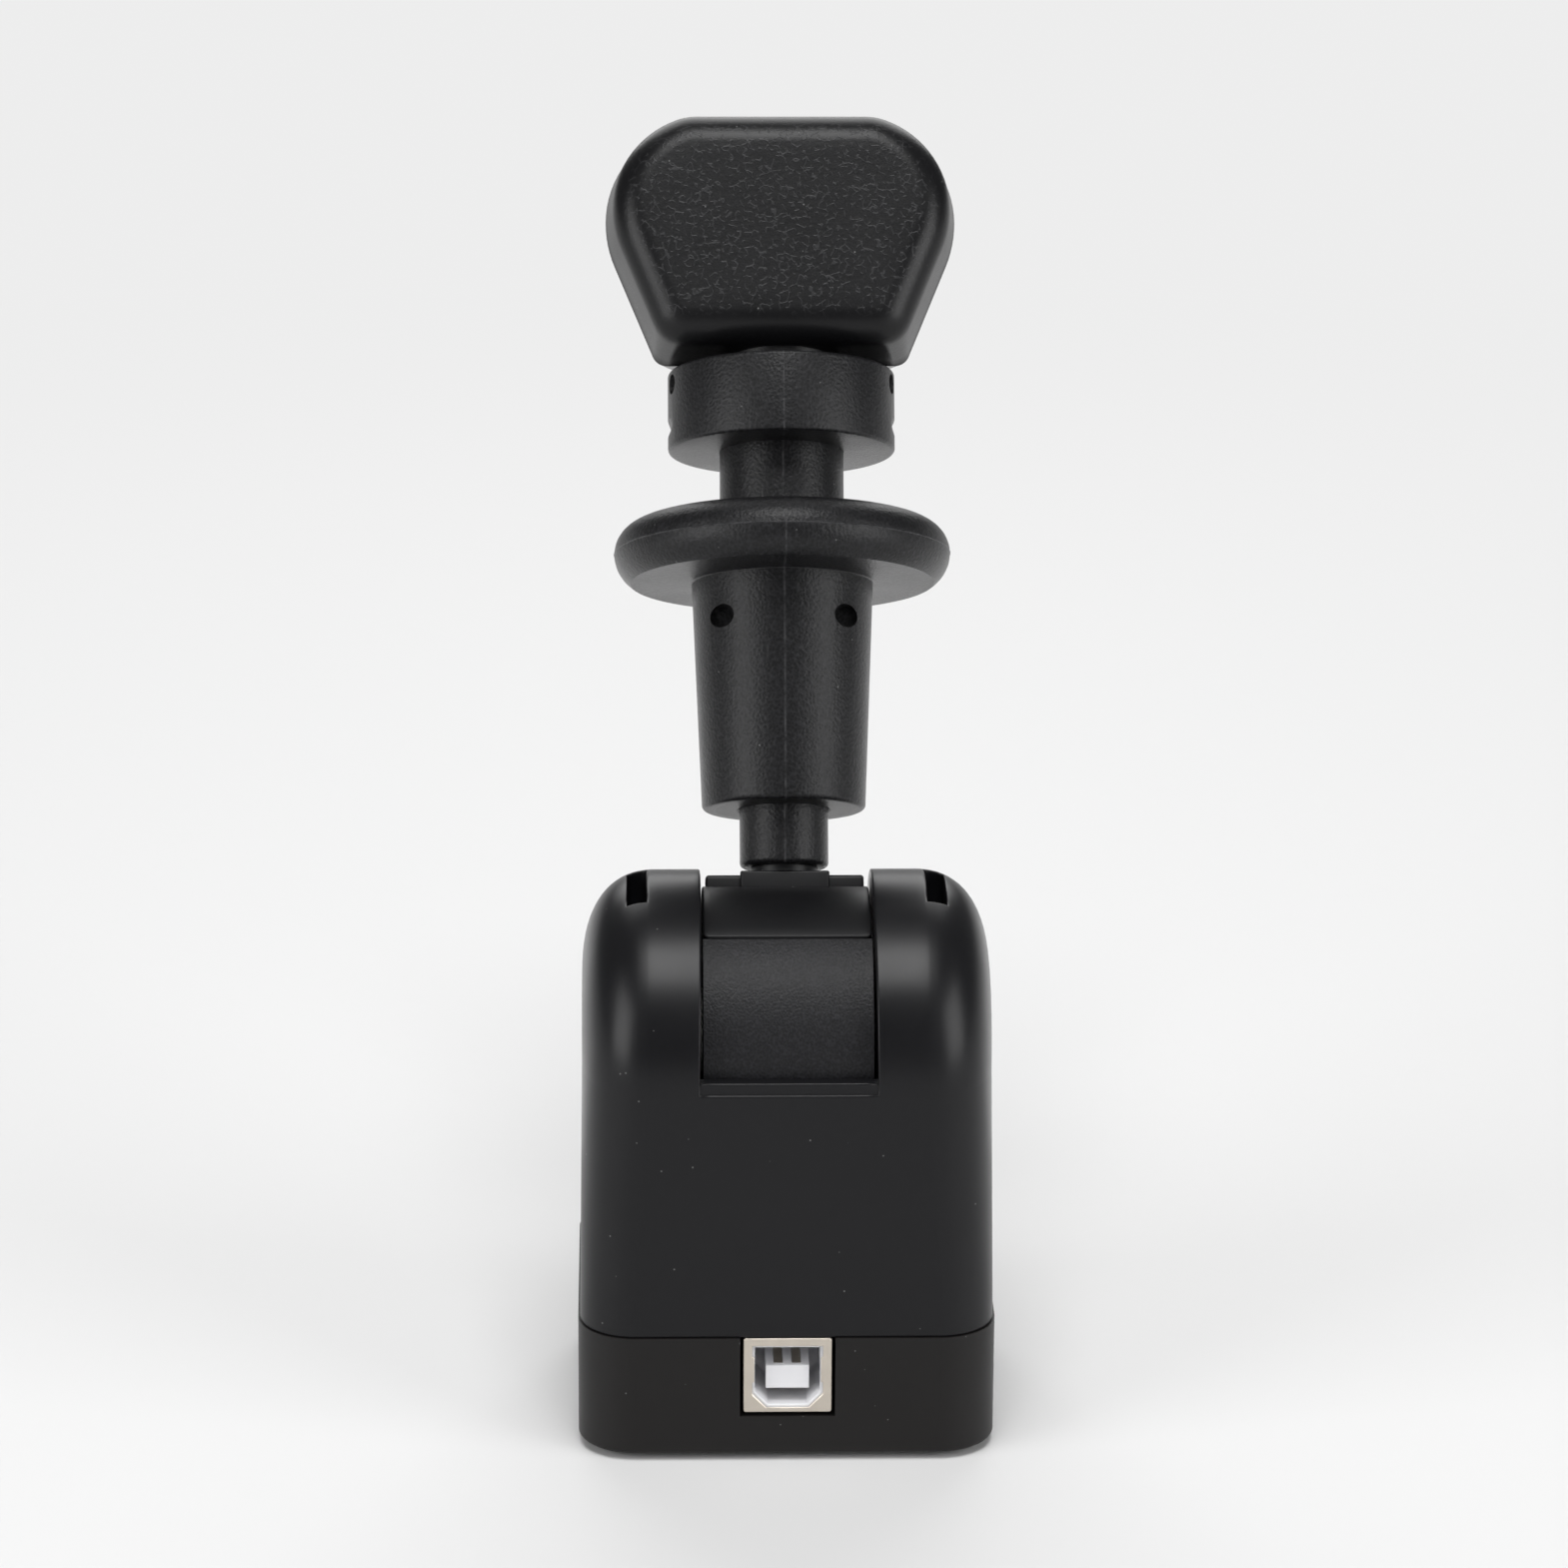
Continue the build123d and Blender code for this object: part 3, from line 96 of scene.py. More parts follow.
# Cover on the drum
COVER_RADIUS = 20.6
COVER_THICKNESS = 1.35
COVER_HALF_ANGLE = 56.0
COVER_HALF_X = 11.38
COVER_CORNER = 0.8
COVER_EDGE = 0.3  # rounding of the outer edge
BLOCK_HALF = (6.1, 4.4)
BLOCK_TOP = 22.4
BLOCK_EDGE = 0.27
WING_HALF = (10.85, 2.7)
WING_TOP = 22.05
WING_EDGE = 0.5
PAD_CORNER = 0.35  # plan corner of the block and the wings
PAD_ROOT = 0.4  # share of the cover's thickness at which they start
SEAT_RADIUS = 4.6
SEAT_TOP = 23.35
SEAT_SINK = 0.02  # how far its foot is under the block's top

# Stem, lift collar and knob collar, heights along the lever from the pivot
PARK_ANGLE = 28.0
ROOT_RADIUS = 4.0  # of the stem inside its seat
ROOT_DEPTH = 3.0
ROD_RADIUS = 6.1
NECK_RADIUS = 8.6
NECK_START = 53.5
SPIGOT_RADIUS = 6.0
SPIGOT_END = 114.0
LIFT = 8.0  # travel of the collar
PIN_SLOT = (35.34, 46.5)  # lower and upper end
PIN_SLOT_HALF = 1.58
SLEEVE_START = 31.4
SLEEVE_LOW = 11.25
SLEEVE_TOP = 12.55
SLEEVE_BORE = 9.4
GUIDE_START = 58.4
GUIDE_RADIUS = 8.68
FLANGE_START = 63.1
FLANGE_TOP = 71.5
FLANGE_RADIUS = 23.25
FLANGE_FLAT = 21.0
FLANGE_TOP_FLAT = 19.0
FLANGE_PARTING = 67.2
SLEEVE_HOLE = (8.5, 57.0, 1.6)  # across, height, radius
SLEEVE_HOLE_STOP = 6.2  # depth from the middle where a hole ends
BAND_START = 81.6
BAND_END = 92.7
BAND_RADIUS = 15.75
BAND_BORE = 8.65
BAND_PIN = (90.5, 1.4, 13.4, 3.9)  # height, radius, depth from the middle, towards the front
BAND_SCALLOP = (84.9, 1.7, 16.85, 12.0)  # height, radius, across, half its length
CUT_REACH = 20.0  # a cutting bar ends this far from the middle, clear of the piece

# Knob
KNOB_START = 94.0
KNOB_HEIGHT = 34.5
KNOB_HALF_X = 24.35
KNOB_HALF_Y = 12.0
KNOB_TOP_HALF = 11.7
KNOB_DROP = 14.2  # from the top down to the widest line
KNOB_TIGHT = 9.1  # radius of the shoulder's arc at the top
KNOB_WAIST = 16.0  # radius under the widest line
KNOB_SLOPE = 22.4  # angle of the lower sides
KNOB_FOOT = 2.0  # corner radius of the foot at the parting plane
KNOB_FACE_FOOT = 5.52  # and at the face
KNOB_LEAST_FOOT = 0.8  # of the rows that are taken in far
KNOB_DRAFT = 7.0
KNOB_ROUND = 4.6
KNOB_BOSS = 8.2  # radius of the boss between the band and the knob
KNOB_BOSS_GAP = 0.05  # over the band
KNOB_BOSS_SINK = 1.0  # into the knob
KNOB_MIDDLE = 0.52  # share of the height where a face's rows meet
KNOB_BARE = 4.2  # height over the foot under which the face has no creases
KNOB_FADE = 1.5  # height over which they set in
KNOB_RIM = 1.4  # depth under the face at which they set in on the rounding
KNOB_RIM_FADE = 1.2

# Broken edges of the socket's pieces
FRAME_EDGE = 0.12
INSERT_EDGE = 0.1
BLADE_EDGE = 0.06

# Mould lines that stand on the turned parts
FLASH_HEIGHT = 0.035
FLASH_WIDTH = 0.12
RING_HEIGHT = 0.08  # of the line round the flange
RING_WIDTH = 0.1  # of its painted highlight
RING_HALF = 0.12  # half its width at the foot
RING_GAP = 2.4  # angle on the rim's arcs that the line takes

# Camera, fitted to the photograph
CAMERA_TARGET = (-0.37, 0.0, 89.2)
CAMERA_DISTANCE = 849.7
CAMERA_ELEVATION = 18.96
CAMERA_YAW = -1.5
CAMERA_ROLL = -0.35
CAMERA_LENS = 144.55

# Studio: a lamp is its place and size in metres, its power in watts and the point it faces
MIDDLE = (0.0, 0.0, 0.08)
LAMPS = {
    "front": ((0.0, -0.40, 1.31), (0.62, 0.7), 12.0, MIDDLE),
    "behind": ((0.0, 0.66, 0.54), (0.8, 0.7), 4.4, MIDDLE),
    "left": ((-0.64, -0.39, 0.30), (0.46, 0.5), 3.3, MIDDLE),
    "right": ((0.64, -0.39, 0.30), (0.46, 0.5), 3.3, MIDDLE),
    "bounce": ((0.0, 0.2, 0.003), (0.5, 0.24), 0.17, (0.0, 0.2, 1.0)),
}
SURROUND = 0.11  # strength of the white surround
FLOOR_HALF = 4.0  # metres
FLOOR_TONE = 0.7
FLOOR_FADE = (110.0, 620.0)  # distances between which the floor turns into the even tone
FAR_TONE = 0.85


# Shapes

def arc(centre, radius, start, end, count):
    """Points on a circle: centre + radius * (cos a, sin a), with a from start to end."""
    a = np.radians(np.linspace(start, end, count))
    return np.stack([centre[0] + radius * np.cos(a), centre[1] + radius * np.sin(a)], -1)


def rounded(corners, radii):
    """A polyline whose corners are arcs.

    At a corner with unit directions p and q to its neighbours and half angle h between
    them, the arc has its centre at r / sin h along p + q and touches both lines at
    r / tan h from the corner.
    """
    corners = np.asarray(corners, float)
    made = [corners[:1]]
    for before, corner, after, r in zip(corners, corners[1:], corners[2:], radii):
        if r == 0:
            made.append(corner[None])
            continue
        p = (before - corner) / np.linalg.norm(before - corner)
        q = (after - corner) / np.linalg.norm(after - corner)
        half = np.arccos(np.clip(p @ q, -1, 1)) / 2
        centre = corner + (p + q) / np.linalg.norm(p + q) * r / np.sin(half)
        first = corner + p * r / np.tan(half) - centre
        last = corner + q * r / np.tan(half) - centre
        a = np.arctan2(first[1], first[0])
        turn = (np.arctan2(last[1], last[0]) - a + np.pi) % (2 * np.pi) - np.pi
        angles = a + turn * np.linspace(0, 1, ARC_STEPS)
        made.append(centre + r * np.stack([np.cos(angles), np.sin(angles)], -1))
    made.append(corners[-1:])
    return np.concatenate(made)


def turned(profile, around=None, flash=True):
    """A profile of (radius, height) carried round the lever's axis.

    The point at angle a is (R sin a, -R cos a, height). R is the radius plus a thin
    ridge, height * exp(-(distance along the arc / width) ** 2), at the front and the
    back, where the two halves of the mould meet.
    """
    if around is None:
        fine = np.array([-1.6, -1.0, -0.5, 0.0, 0.5, 1.0, 1.6])
        half = np.concatenate([fine, np.linspace(5, 175, 35)])
        around = np.radians(np.concatenate([half, half + 180]))
    r = profile[:, 0, None]
    near = np.abs(np.sin(around)) * r
    big = r + FLASH_HEIGHT * flash * np.exp(-(near / FLASH_WIDTH) ** 2)
    z = np.broadcast_to(profile[:, 1, None], big.shape)
    return np.stack([big * np.sin(around), -big * np.cos(around), z], -1)


def mould_line_highlight(profile, rings=()):
    """Marks for a turned profile: 1 on its mould lines' ridges and on rings at some heights, where
    a highlight is painted.
    """
    points = turned(profile)
    marks = np.exp(-(np.abs(points[..., 0]) / FLASH_WIDTH) ** 2)
    for height in rings:
        marks = np.maximum(marks, np.exp(-((points[..., 2] - height) / RING_WIDTH) ** 2))
    return marks


def frame_loop(half_x, half_y, corner, steps=ARC_STEPS, side=5):
    """A rectangle with round corners, as one closed row of points; the sizes may be columns."""
    half_x, half_y, corner = np.broadcast_arrays(*np.atleast_1d(half_x, half_y, corner))
    ix, iy = (half_x - corner)[:, None], (half_y - corner)[:, None]
    rows = []
    for k, (sx, sy) in enumerate(((1, -1), (1, 1), (-1, 1), (-1, -1))):
        a = np.radians(np.linspace(-90, 0, steps) + 90 * k)
        x = sx * ix + corner[:, None] * np.cos(a)
        y = sy * iy + corner[:, None] * np.sin(a)
        rows.append(np.stack([x, y], -1))
    joined = []
    for k, row in enumerate(rows):
        after = rows[(k + 1) % 4]
        t = np.linspace(0, 1, side + 1)[1:-1, None]
        joined += [row, row[:, -1:] * (1 - t) + after[:, :1] * t]
    return np.concatenate(joined, 1)


def at_heights(loops, z):
    """Flat loops of (x, y), each at its own height."""
    heights = np.broadcast_to(z[:, None, None], (*loops.shape[:2], 1))
    return np.concatenate([loops, heights], -1)


def pad(half, corner, section):
    """A plate with round corners: a loop at each (inset, height) of a section, then its middle."""
    inset, z = np.asarray(section, float).T
    fade = np.concatenate([np.ones(len(z)), np.linspace(1, 0, PAD_STEPS + 1)[1:]])
    inset = np.concatenate([inset, np.full(PAD_STEPS, inset[-1])])
    z = np.concatenate([z, np.full(PAD_STEPS, z[-1])])
    loops = frame_loop(half[0] - inset, half[1] - inset, np.maximum(corner - inset, 0.05))
    return at_heights(loops * fade[:, None, None], z)


def lean(points):
    """Points of the upright lever, turned back about the pivot by the park angle."""
    a = np.radians(PARK_ANGLE)
    x, y, z = np.moveaxis(np.asarray(points, float), -1, 0)
    return np.stack([x, y * np.cos(a) + z * np.sin(a), PIVOT_Z - y * np.sin(a) + z * np.cos(a)], -1)


def both_sides(grids):
    """Open grids and their mirror images across x = 0."""
    return grids + [g[:, ::-1] * np.array([-1.0, 1.0, 1.0]) for g in grids]


# Meshes

def mesh_from(name, open_grids=(), closed_grids=(), values=None):
    """One welded mesh from grids of points; a closed grid joins its last column to its first.

    values gives a number to each grid's points, kept in an attribute of the mesh.
    """
    points, quads, marks, start = [], [], [], 0
    grids = [(g, False) for g in open_grids] + [(g, True) for g in closed_grids]
    for k, (g, closed) in enumerate(grids):
        rows, columns = g.shape[:2]
        i = np.arange(rows - 1)[:, None] * columns
        j = np.arange(columns if closed else columns - 1)[None]
        after, below = (j + 1) % columns, i + columns
        loop = np.stack([i + j, i + after, below + after, below + j], -1)
        quads.append(start + loop.reshape(-1, 4))
        points.append(g.reshape(-1, 3))
        if values is not None:
            marks.append(np.broadcast_to(values[k], (rows, columns)).ravel())
        start += rows * columns
    mesh = bpy.data.meshes.new(name)
    mesh.from_pydata((np.concatenate(points) * MM).tolist(), [], np.concatenate(quads).tolist())
    if values is not None:
        mark = mesh.attributes.new("mark", "FLOAT", "POINT")
        mark.data.foreach_set("value", np.concatenate(marks))
    return weld(mesh)


def weld(mesh):
    """Joins points that coincide, drops faces without area and points every face outwards."""
    b = bmesh.new()
    b.from_mesh(mesh)
    bmesh.ops.remove_doubles(b, verts=b.verts, dist=WELD * MM)
    bmesh.ops.dissolve_degenerate(b, edges=b.edges, dist=WELD * MM)
    bmesh.ops.recalc_face_normals(b, faces=b.faces)
    b.to_mesh(mesh)
    b.free()
    return mesh


def break_edges(made, width, segments, sharp, whole):
    """Bevels the sharp edges of an object, or only the convex ones where it isn't whole.

    A whole object's bevels are held clear of one another, and its flat faces keep their
    sharp borders in the shading.
    """
    b = bmesh.new()
    b.from_mesh(made.data)
    weights = b.edges.layers.float.new("bevel_weight_edge")
    for edge in b.edges:
        taken = len(edge.link_faces) == 2 and (whole or edge.is_convex)
        edge[weights] = float(taken and edge.calc_face_angle(0) > np.radians(sharp))
    b.to_mesh(made.data)
    b.free()
    step = made.modifiers.new("edges", "BEVEL")
    step.limit_method = "WEIGHT"
    step.width = width * MM
    step.segments = segments
    step.use_clamp_overlap = whole
    made.modifiers.new("flats", "WEIGHTED_NORMAL").keep_sharp = whole


def piece(name, mesh, body, finish, nodes):
    """Puts a mesh into the scene as the piece that stands for CAD nodes of a body."""
    made = bpy.data.objects.new(name, mesh)
    bpy.context.scene.collection.objects.link(made)
    mesh.materials.clear()
    mesh.materials.append(FINISHES[finish])
    mesh.shade_smooth()
    mesh.set_sharp_from_angle(angle=np.radians(SHARP))
    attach(made, body)
    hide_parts(*nodes)
    return made


def cut(mesh, cutters):
    """The mesh with other closed meshes taken out of it."""
    link = bpy.context.scene.collection.objects.link
    made = bpy.data.objects.new("work", mesh)
    link(made)
    tools = []
    for cutter in cutters:
        tool = bpy.data.objects.new("tool", cutter)
        link(tool)
        tools.append(tool)
        step = made.modifiers.new("cut", "BOOLEAN")
        step.operation = "DIFFERENCE"
        step.solver = "EXACT"
        step.object = tool
    bpy.context.view_layer.update()
    graph = bpy.context.evaluated_depsgraph_get()
    result = bpy.data.meshes.new_from_object(made.evaluated_get(graph))
    for each in [made, *tools]:
        bpy.data.objects.remove(each)
    return weld(result)


def bar(start, end, radius):
    """A closed round bar between two points of the upright lever, leaned back with it."""
    start, end = np.asarray(start, float), np.asarray(end, float)
    along = (end - start) / np.linalg.norm(end - start)
    side = np.cross(along, (0.3, 0.5, 0.8))
    side /= np.linalg.norm(side)
    other = np.cross(along, side)
    a = np.linspace(0, 2 * np.pi, BAR_STEPS, endpoint=False)[:, None]
    ring = radius * (np.cos(a) * side + np.sin(a) * other)
    loops = np.stack([ring * 0 + start, ring + start, ring + end, ring * 0 + end])
    return mesh_from("bar", closed_grids=[lean(loops)])


def edged_copy(name, node, body, finish, width):
    """A piece copied from a CAD node, with its flat faces made whole and its edges broken."""
    mesh = weld(frame["nodes"][node].data.copy())
    b = bmesh.new()
    b.from_mesh(mesh)
    bmesh.ops.dissolve_limit(b, angle_limit=np.radians(COPY_FLAT), verts=b.verts, edges=b.edges)
    b.to_mesh(mesh)
    b.free()
    made = piece(name, mesh, body, finish, [node])
    break_edges(made, width, 2, COPY_SHARP, whole=True)


# Finishes

DULL = 0.26  # specular level of the black plastics
PLAIN = 0.5  # and of the white ones
DUST = (0.2, 0.2, 0.2)
DUST_SPACING = 3.2
DUST_RADIUS = 0.14
DUST_AMOUNT = 0.6
RIDGE_HIGHLIGHT = (0.055, 0.055, 0.058)  # painted highlight on the ridges of mould lines and creases
CREASE_CELL = 1.15  # size of the cells whose edges are the creases
CREASE_BEND = 1.6  # size of the clouds that bend them
CREASE_SHIFT = 1.3  # and how far these push them
CREASE_BREAK = 0.75  # size of the clouds that break them up
# how strongly a highlight is painted on the creases' ridges
CREASE_HIGHLIGHT = 0.3
CREASE_DEPTH = 0.014
KNOB_GRAIN_DEPTH = 0.03


def shade(colour, factor):
    """The colour times a factor, at most 1."""
    return tuple(min(1.0, c * factor) for c in colour)


class Value:
    """A socket of a material; sums, differences and products of it add Math nodes."""

    def __init__(self, tree, socket):
        self.tree = tree
        self.socket = socket

    def math(self, operation, *others):
        return self.tree.node("ShaderNodeMath", {"operation": operation}, [self, *others])

    def __add__(self, other):
        return self.math("ADD", other)

    __radd__ = __add__

    def __mul__(self, other):
        return self.math("MULTIPLY", other)

    def __sub__(self, other):
        return self.math("SUBTRACT", other)

    def __rsub__(self, other):
        return self.tree.node("ShaderNodeMath", {"operation": "SUBTRACT"}, [other, self])

    def smooth(self, low, high):
        """0 below low, 1 above high and a smooth step between them."""
        kind = {"interpolation_type": "SMOOTHSTEP"}
        inputs = {"Value": self, "From Min": low, "From Max": high}
        return self.tree.node("ShaderNodeMapRange", kind, inputs)


class Tree:
    """The node tree of one material."""

    def __init__(self, name):
        self.material = bpy.data.materials.new(name)
        self.material.use_nodes = True
        self.nodes = self.material.node_tree.nodes
        self.links = self.material.node_tree.links
        self.shader = self.nodes["Principled BSDF"]

    def node(self, kind, settings=None, inputs=(), output=0):
        """One output of a new node with these settings, and inputs by name or in order."""
        made = self.nodes.new(kind)
        for key, value in (settings or {}).items():
            setattr(made, key, value)
        given = inputs if isinstance(inputs, dict) else dict(enumerate(inputs))
        for key, value in given.items():
            self.feed(made.inputs[key], value)
        return Value(self, made.outputs[output])

    def feed(self, socket, value):
        """Links a socket to a Value, or sets it."""
        if isinstance(value, Value):
            self.links.new(value.socket, socket)
        else:
            socket.default_value = value

    def place(self, stretch=(1, 1, 1)):
        """The piece's own coordinates in millimetres, stretched."""
        at = self.node("ShaderNodeTexCoord", output="Object")
        scale = tuple(s / MM for s in stretch)
        return self.node("ShaderNodeMapping", {}, {"Vector": at, "Scale": scale})

    def noise(self, size, detail=2.0, roughness=0.5, at=None, output="Fac"):
        """Cloudy noise from 0 to 1 whose features are about size millimetres."""
        place = {"Vector": at or self.place(), "Scale": 1 / size}
        kind = {"Detail": detail, "Roughness": roughness}
        return self.node("ShaderNodeTexNoise", {}, {**place, **kind}, output=output)

    def cells(self, size, feature="F1", at=None):
        """Irregular cells of about size millimetres: the distance to a cell's point or edge."""
        place = {"Vector": at or self.place(), "Scale": 1 / size}
        return self.node("ShaderNodeTexVoronoi", {"feature": feature}, place)

    def mark(self):
        """The marks that the mesh carries, 0 where it carries none."""
        return self.node("ShaderNodeAttribute", {"attribute_name": "mark"}, output="Fac")

    def blend(self, factor, under, over):
        """A colour over another by a factor; the lower one may come from a socket."""
        under = under if isinstance(under, Value) else (*under, 1)
        inputs = {0: factor, 6: under, 7: (*over, 1)}
        return self.node("ShaderNodeMix", {"data_type": "RGBA"}, inputs, output=2)

    def relief(self, height, depth, normal=None):
        """A surface that rises by depth millimetres where height goes from 0 to 1."""
        inputs = {"Height": height, "Strength": 1.0, "Distance": depth * MM}
        if normal is not None:
            inputs["Normal"] = normal
        return self.node("ShaderNodeBump", {}, inputs)

    def finish(self, **sockets):
        """The material, with these inputs of its shader."""
        for name, value in sockets.items():
            self.feed(self.shader.inputs[name.replace("_", " ")], value)
        return self.material


def dusted(t, base):
    """The colour with a few small pale flecks of dust."""
    cells = t.cells(DUST_SPACING)
    fleck = 1 - cells.smooth(DUST_RADIUS / DUST_SPACING * 0.6, DUST_RADIUS / DUST_SPACING)
    return t.blend(fleck * DUST_AMOUNT, base, DUST)


def moulded(name, colour, roughness, grain, depth, dust=False, shine=DULL):
    """Moulded plastic: clouds in its gloss and tone, a fine grain and a little dust."""
    t = Tree(name)
    cloud = t.noise(9.0, detail=4.0)
    fine = t.noise(grain, detail=3.0, roughness=0.6)
    base = t.blend((cloud - 0.5) * 0.5 + 0.5, shade(colour, 0.8), shade(colour, 1.25))
    rough = roughness + (cloud - 0.5) * 0.12 + (fine - 0.5) * 0.06
    if dust:
        base = dusted(t, base)
    normal = t.relief(fine, depth)
    return t.finish(Base_Color=base, Roughness=rough, Specular_IOR_Level=shine, Normal=normal)


def sanded(name, colour, roughness, grain, depth, glint_contrast=1.0, dust=False):
    """A sand-textured surface: sharp small pits whose raised crumbs are painted paler as glints,
    and a painted highlight along the mould lines.
    """
    t = Tree(name)
    cloud = t.noise(7.0, detail=3.0)
    pits = t.noise(grain, detail=4.0, roughness=0.7)
    crumbs = t.cells(grain * 1.4)
    height = pits * 0.6 + crumbs * 0.5
    # paler on the raised crumbs, painted glints of the grain, with some random cloud
    tone = height.smooth(0.35, 0.85) * 0.8 + cloud * 0.2
    base = t.blend(tone, shade(colour, 1 - 0.3 * glint_contrast), shade(colour, 1 + 0.8 * glint_contrast))
    # a highlight painted along the mould lines' ridges, shown in broken stretches
    shown = t.noise(1.4, detail=2.0).smooth(0.35, 0.65) * 0.55 + 0.15
    base = t.blend(t.mark() * shown, base, RIDGE_HIGHLIGHT)
    rough = roughness + (cloud - 0.5) * 0.1 + (pits - 0.5) * 0.1
    if dust:
        base = dusted(t, base)
    normal = t.relief(height, depth)
    return t.finish(Base_Color=base, Roughness=rough, Specular_IOR_Level=DULL, Normal=normal)


def wrinkled(name, colour, roughness):
    """Leather-grained plastic, with short thin curved creases where the mark is 1, their ridges
    painted pale as a highlight.
    """
    t = Tree(name)
    bend = t.noise(CREASE_BEND, detail=1.0, output="Color")
    shift = t.node("ShaderNodeVectorMath", {"operation": "SCALE"}, {0: bend, "Scale": CREASE_SHIFT})
    at = t.node("ShaderNodeVectorMath", {"operation": "ADD"}, [t.place(), shift])
    line = 1 - t.cells(CREASE_CELL, "DISTANCE_TO_EDGE", at).smooth(0.02, 0.09)
    kept = t.noise(CREASE_BREAK, detail=0.0).smooth(0.46, 0.56)
    crease = line * kept * t.mark()
    fine = t.noise(0.22, detail=3.0, roughness=0.6) * 0.45 + t.noise(0.7, detail=2.0) * 0.55
    cloud = t.noise(8.0, detail=3.0)
    base = t.blend(cloud * 0.5 + fine * 0.4, shade(colour, 0.75), shade(colour, 1.35))
    # the creases' ridges painted paler: a painted highlight
    base = dusted(t, t.blend(crease * CREASE_HIGHLIGHT, base, RIDGE_HIGHLIGHT))
    rough = roughness + (cloud - 0.5) * 0.08
    normal = t.relief(crease, CREASE_DEPTH, t.relief(fine, KNOB_GRAIN_DEPTH))
    return t.finish(Base_Color=base, Roughness=rough, Specular_IOR_Level=DULL, Normal=normal)


def metal(name, colour, roughness, grain, stretch=(1, 1, 1)):
    """Metal with a drawn grain and a few duller stains."""
    t = Tree(name)
    lines = t.noise(grain, detail=3.0, at=t.place(stretch))
    cloud = t.noise(2.5, detail=4.0)
    base = t.blend(cloud, shade(colour, 0.9), shade(colour, 1.1))
    rough = roughness + (lines - 0.5) * 0.18 + cloud.smooth(0.5, 0.8) * 0.1
    return t.finish(Base_Color=base, Roughness=rough, Metallic=1.0, Normal=t.relief(lines, 0.003))


# The kind of each finish, its colour and roughness, and what else the kind takes
LOOKS = {
    "shell_black": (moulded, (0.0056, 0.0056, 0.0066), 0.34, 0.3, 0.0025, True),
    "tray_black": (moulded, (0.0078, 0.007, 0.0068), 0.44, 0.26, 0.004, True),
    "drum_black": (sanded, (0.0086, 0.0086, 0.0098), 0.42, 0.24, 0.08, 1.5),
    "cover_black": (moulded, (0.0056, 0.0056, 0.0064), 0.42, 0.3, 0.003, True),
    "lever_black": (sanded, (0.0066, 0.0066, 0.0073), 0.37, 0.32, 0.08, 1.8, True),
    "knob_black": (wrinkled, (0.0046, 0.0046, 0.0052), 0.35),
    "socket_metal": (metal, (0.68, 0.62, 0.54), 0.36, 0.5, (1, 1, 0.2)),
    "socket_white": (moulded, (0.72, 0.72, 0.74), 0.45, 0.4, 0.003, False, PLAIN),
    "contact": (metal, (0.42, 0.38, 0.32), 0.4, 0.3, (1, 0.2, 1)),
    "steel": (metal, (0.56, 0.56, 0.58), 0.3, 0.25, (0.1, 1, 1)),
    "zinc": (metal, (0.62, 0.63, 0.66), 0.36, 0.4),
    "spring_steel": (metal, (0.42, 0.42, 0.44), 0.32, 0.3),
    "brass": (metal, (0.8, 0.62, 0.32), 0.32, 0.3, (1, 1, 0.2)),
    "rubber": (sanded, (0.012, 0.012, 0.012), 0.75, 0.5, 0.03),
    "board_green": (moulded, (0.012, 0.09, 0.04), 0.38, 0.8, 0.01),
    "chip_black": (moulded, (0.012, 0.012, 0.013), 0.55, 0.15, 0.006),
    "bearing_white": (moulded, (0.72, 0.72, 0.68), 0.42, 0.4, 0.004, False, PLAIN),
    "bearing_black": (moulded, (0.0078, 0.0078, 0.0078), 0.4, 0.4, 0.004),
    "magnet_grey": (metal, (0.5, 0.5, 0.52), 0.28, 0.3),
}
FINISHES = {name: kind(name, *values) for name, (kind, *values) in LOOKS.items()}
SLOT_OF = {part["node"]: part["material_slot"] for part in frame["record"]["subparts"]}
for node_name, node_object in frame["nodes"].items():
    node_object.data.materials.clear()
    node_object.data.materials.append(FINISHES[SLOT_OF[node_name]])


# Housing skin

def slot_half(z):
    """Half the slot's width at height z: constant up to the pivot, then narrowing with height."""
    return SLOT_PIVOT - SLOT_NARROWING * np.maximum(z - PIVOT_Z, 0) / SHELL_RADIUS


def bulge(value, power):
    """A sine or cosine raised so that the two trace |x| ** power + |y| ** power = 1."""
    return np.maximum(value, 0) ** (2 / power)


def strip(y, z, share):
    """Points across half the slot, from its middle to its wall, at each y and height z."""
    x = slot_half(z)[:, None] * share
    return np.stack(np.broadcast_arrays(x, y[:, None], z[:, None]), -1)


def vent_grids(mouth):
    """A vent's floor and its four walls down from the mouth."""
    floor = mouth.copy()
    floor[..., 2] = PIVOT_Z + SHELL_RADIUS - VENT_DEPTH
    rim = [(mouth[:1], floor[:1]), (mouth[-1:], floor[-1:])]
    sides = [(mouth[:, :1], floor[:, :1]), (mouth[:, -1:], floor[:, -1:])]
    walls = [np.concatenate(pair, 0) for pair in rim]
    return [floor, *walls, *(np.concatenate(pair, 1) for pair in sides)]


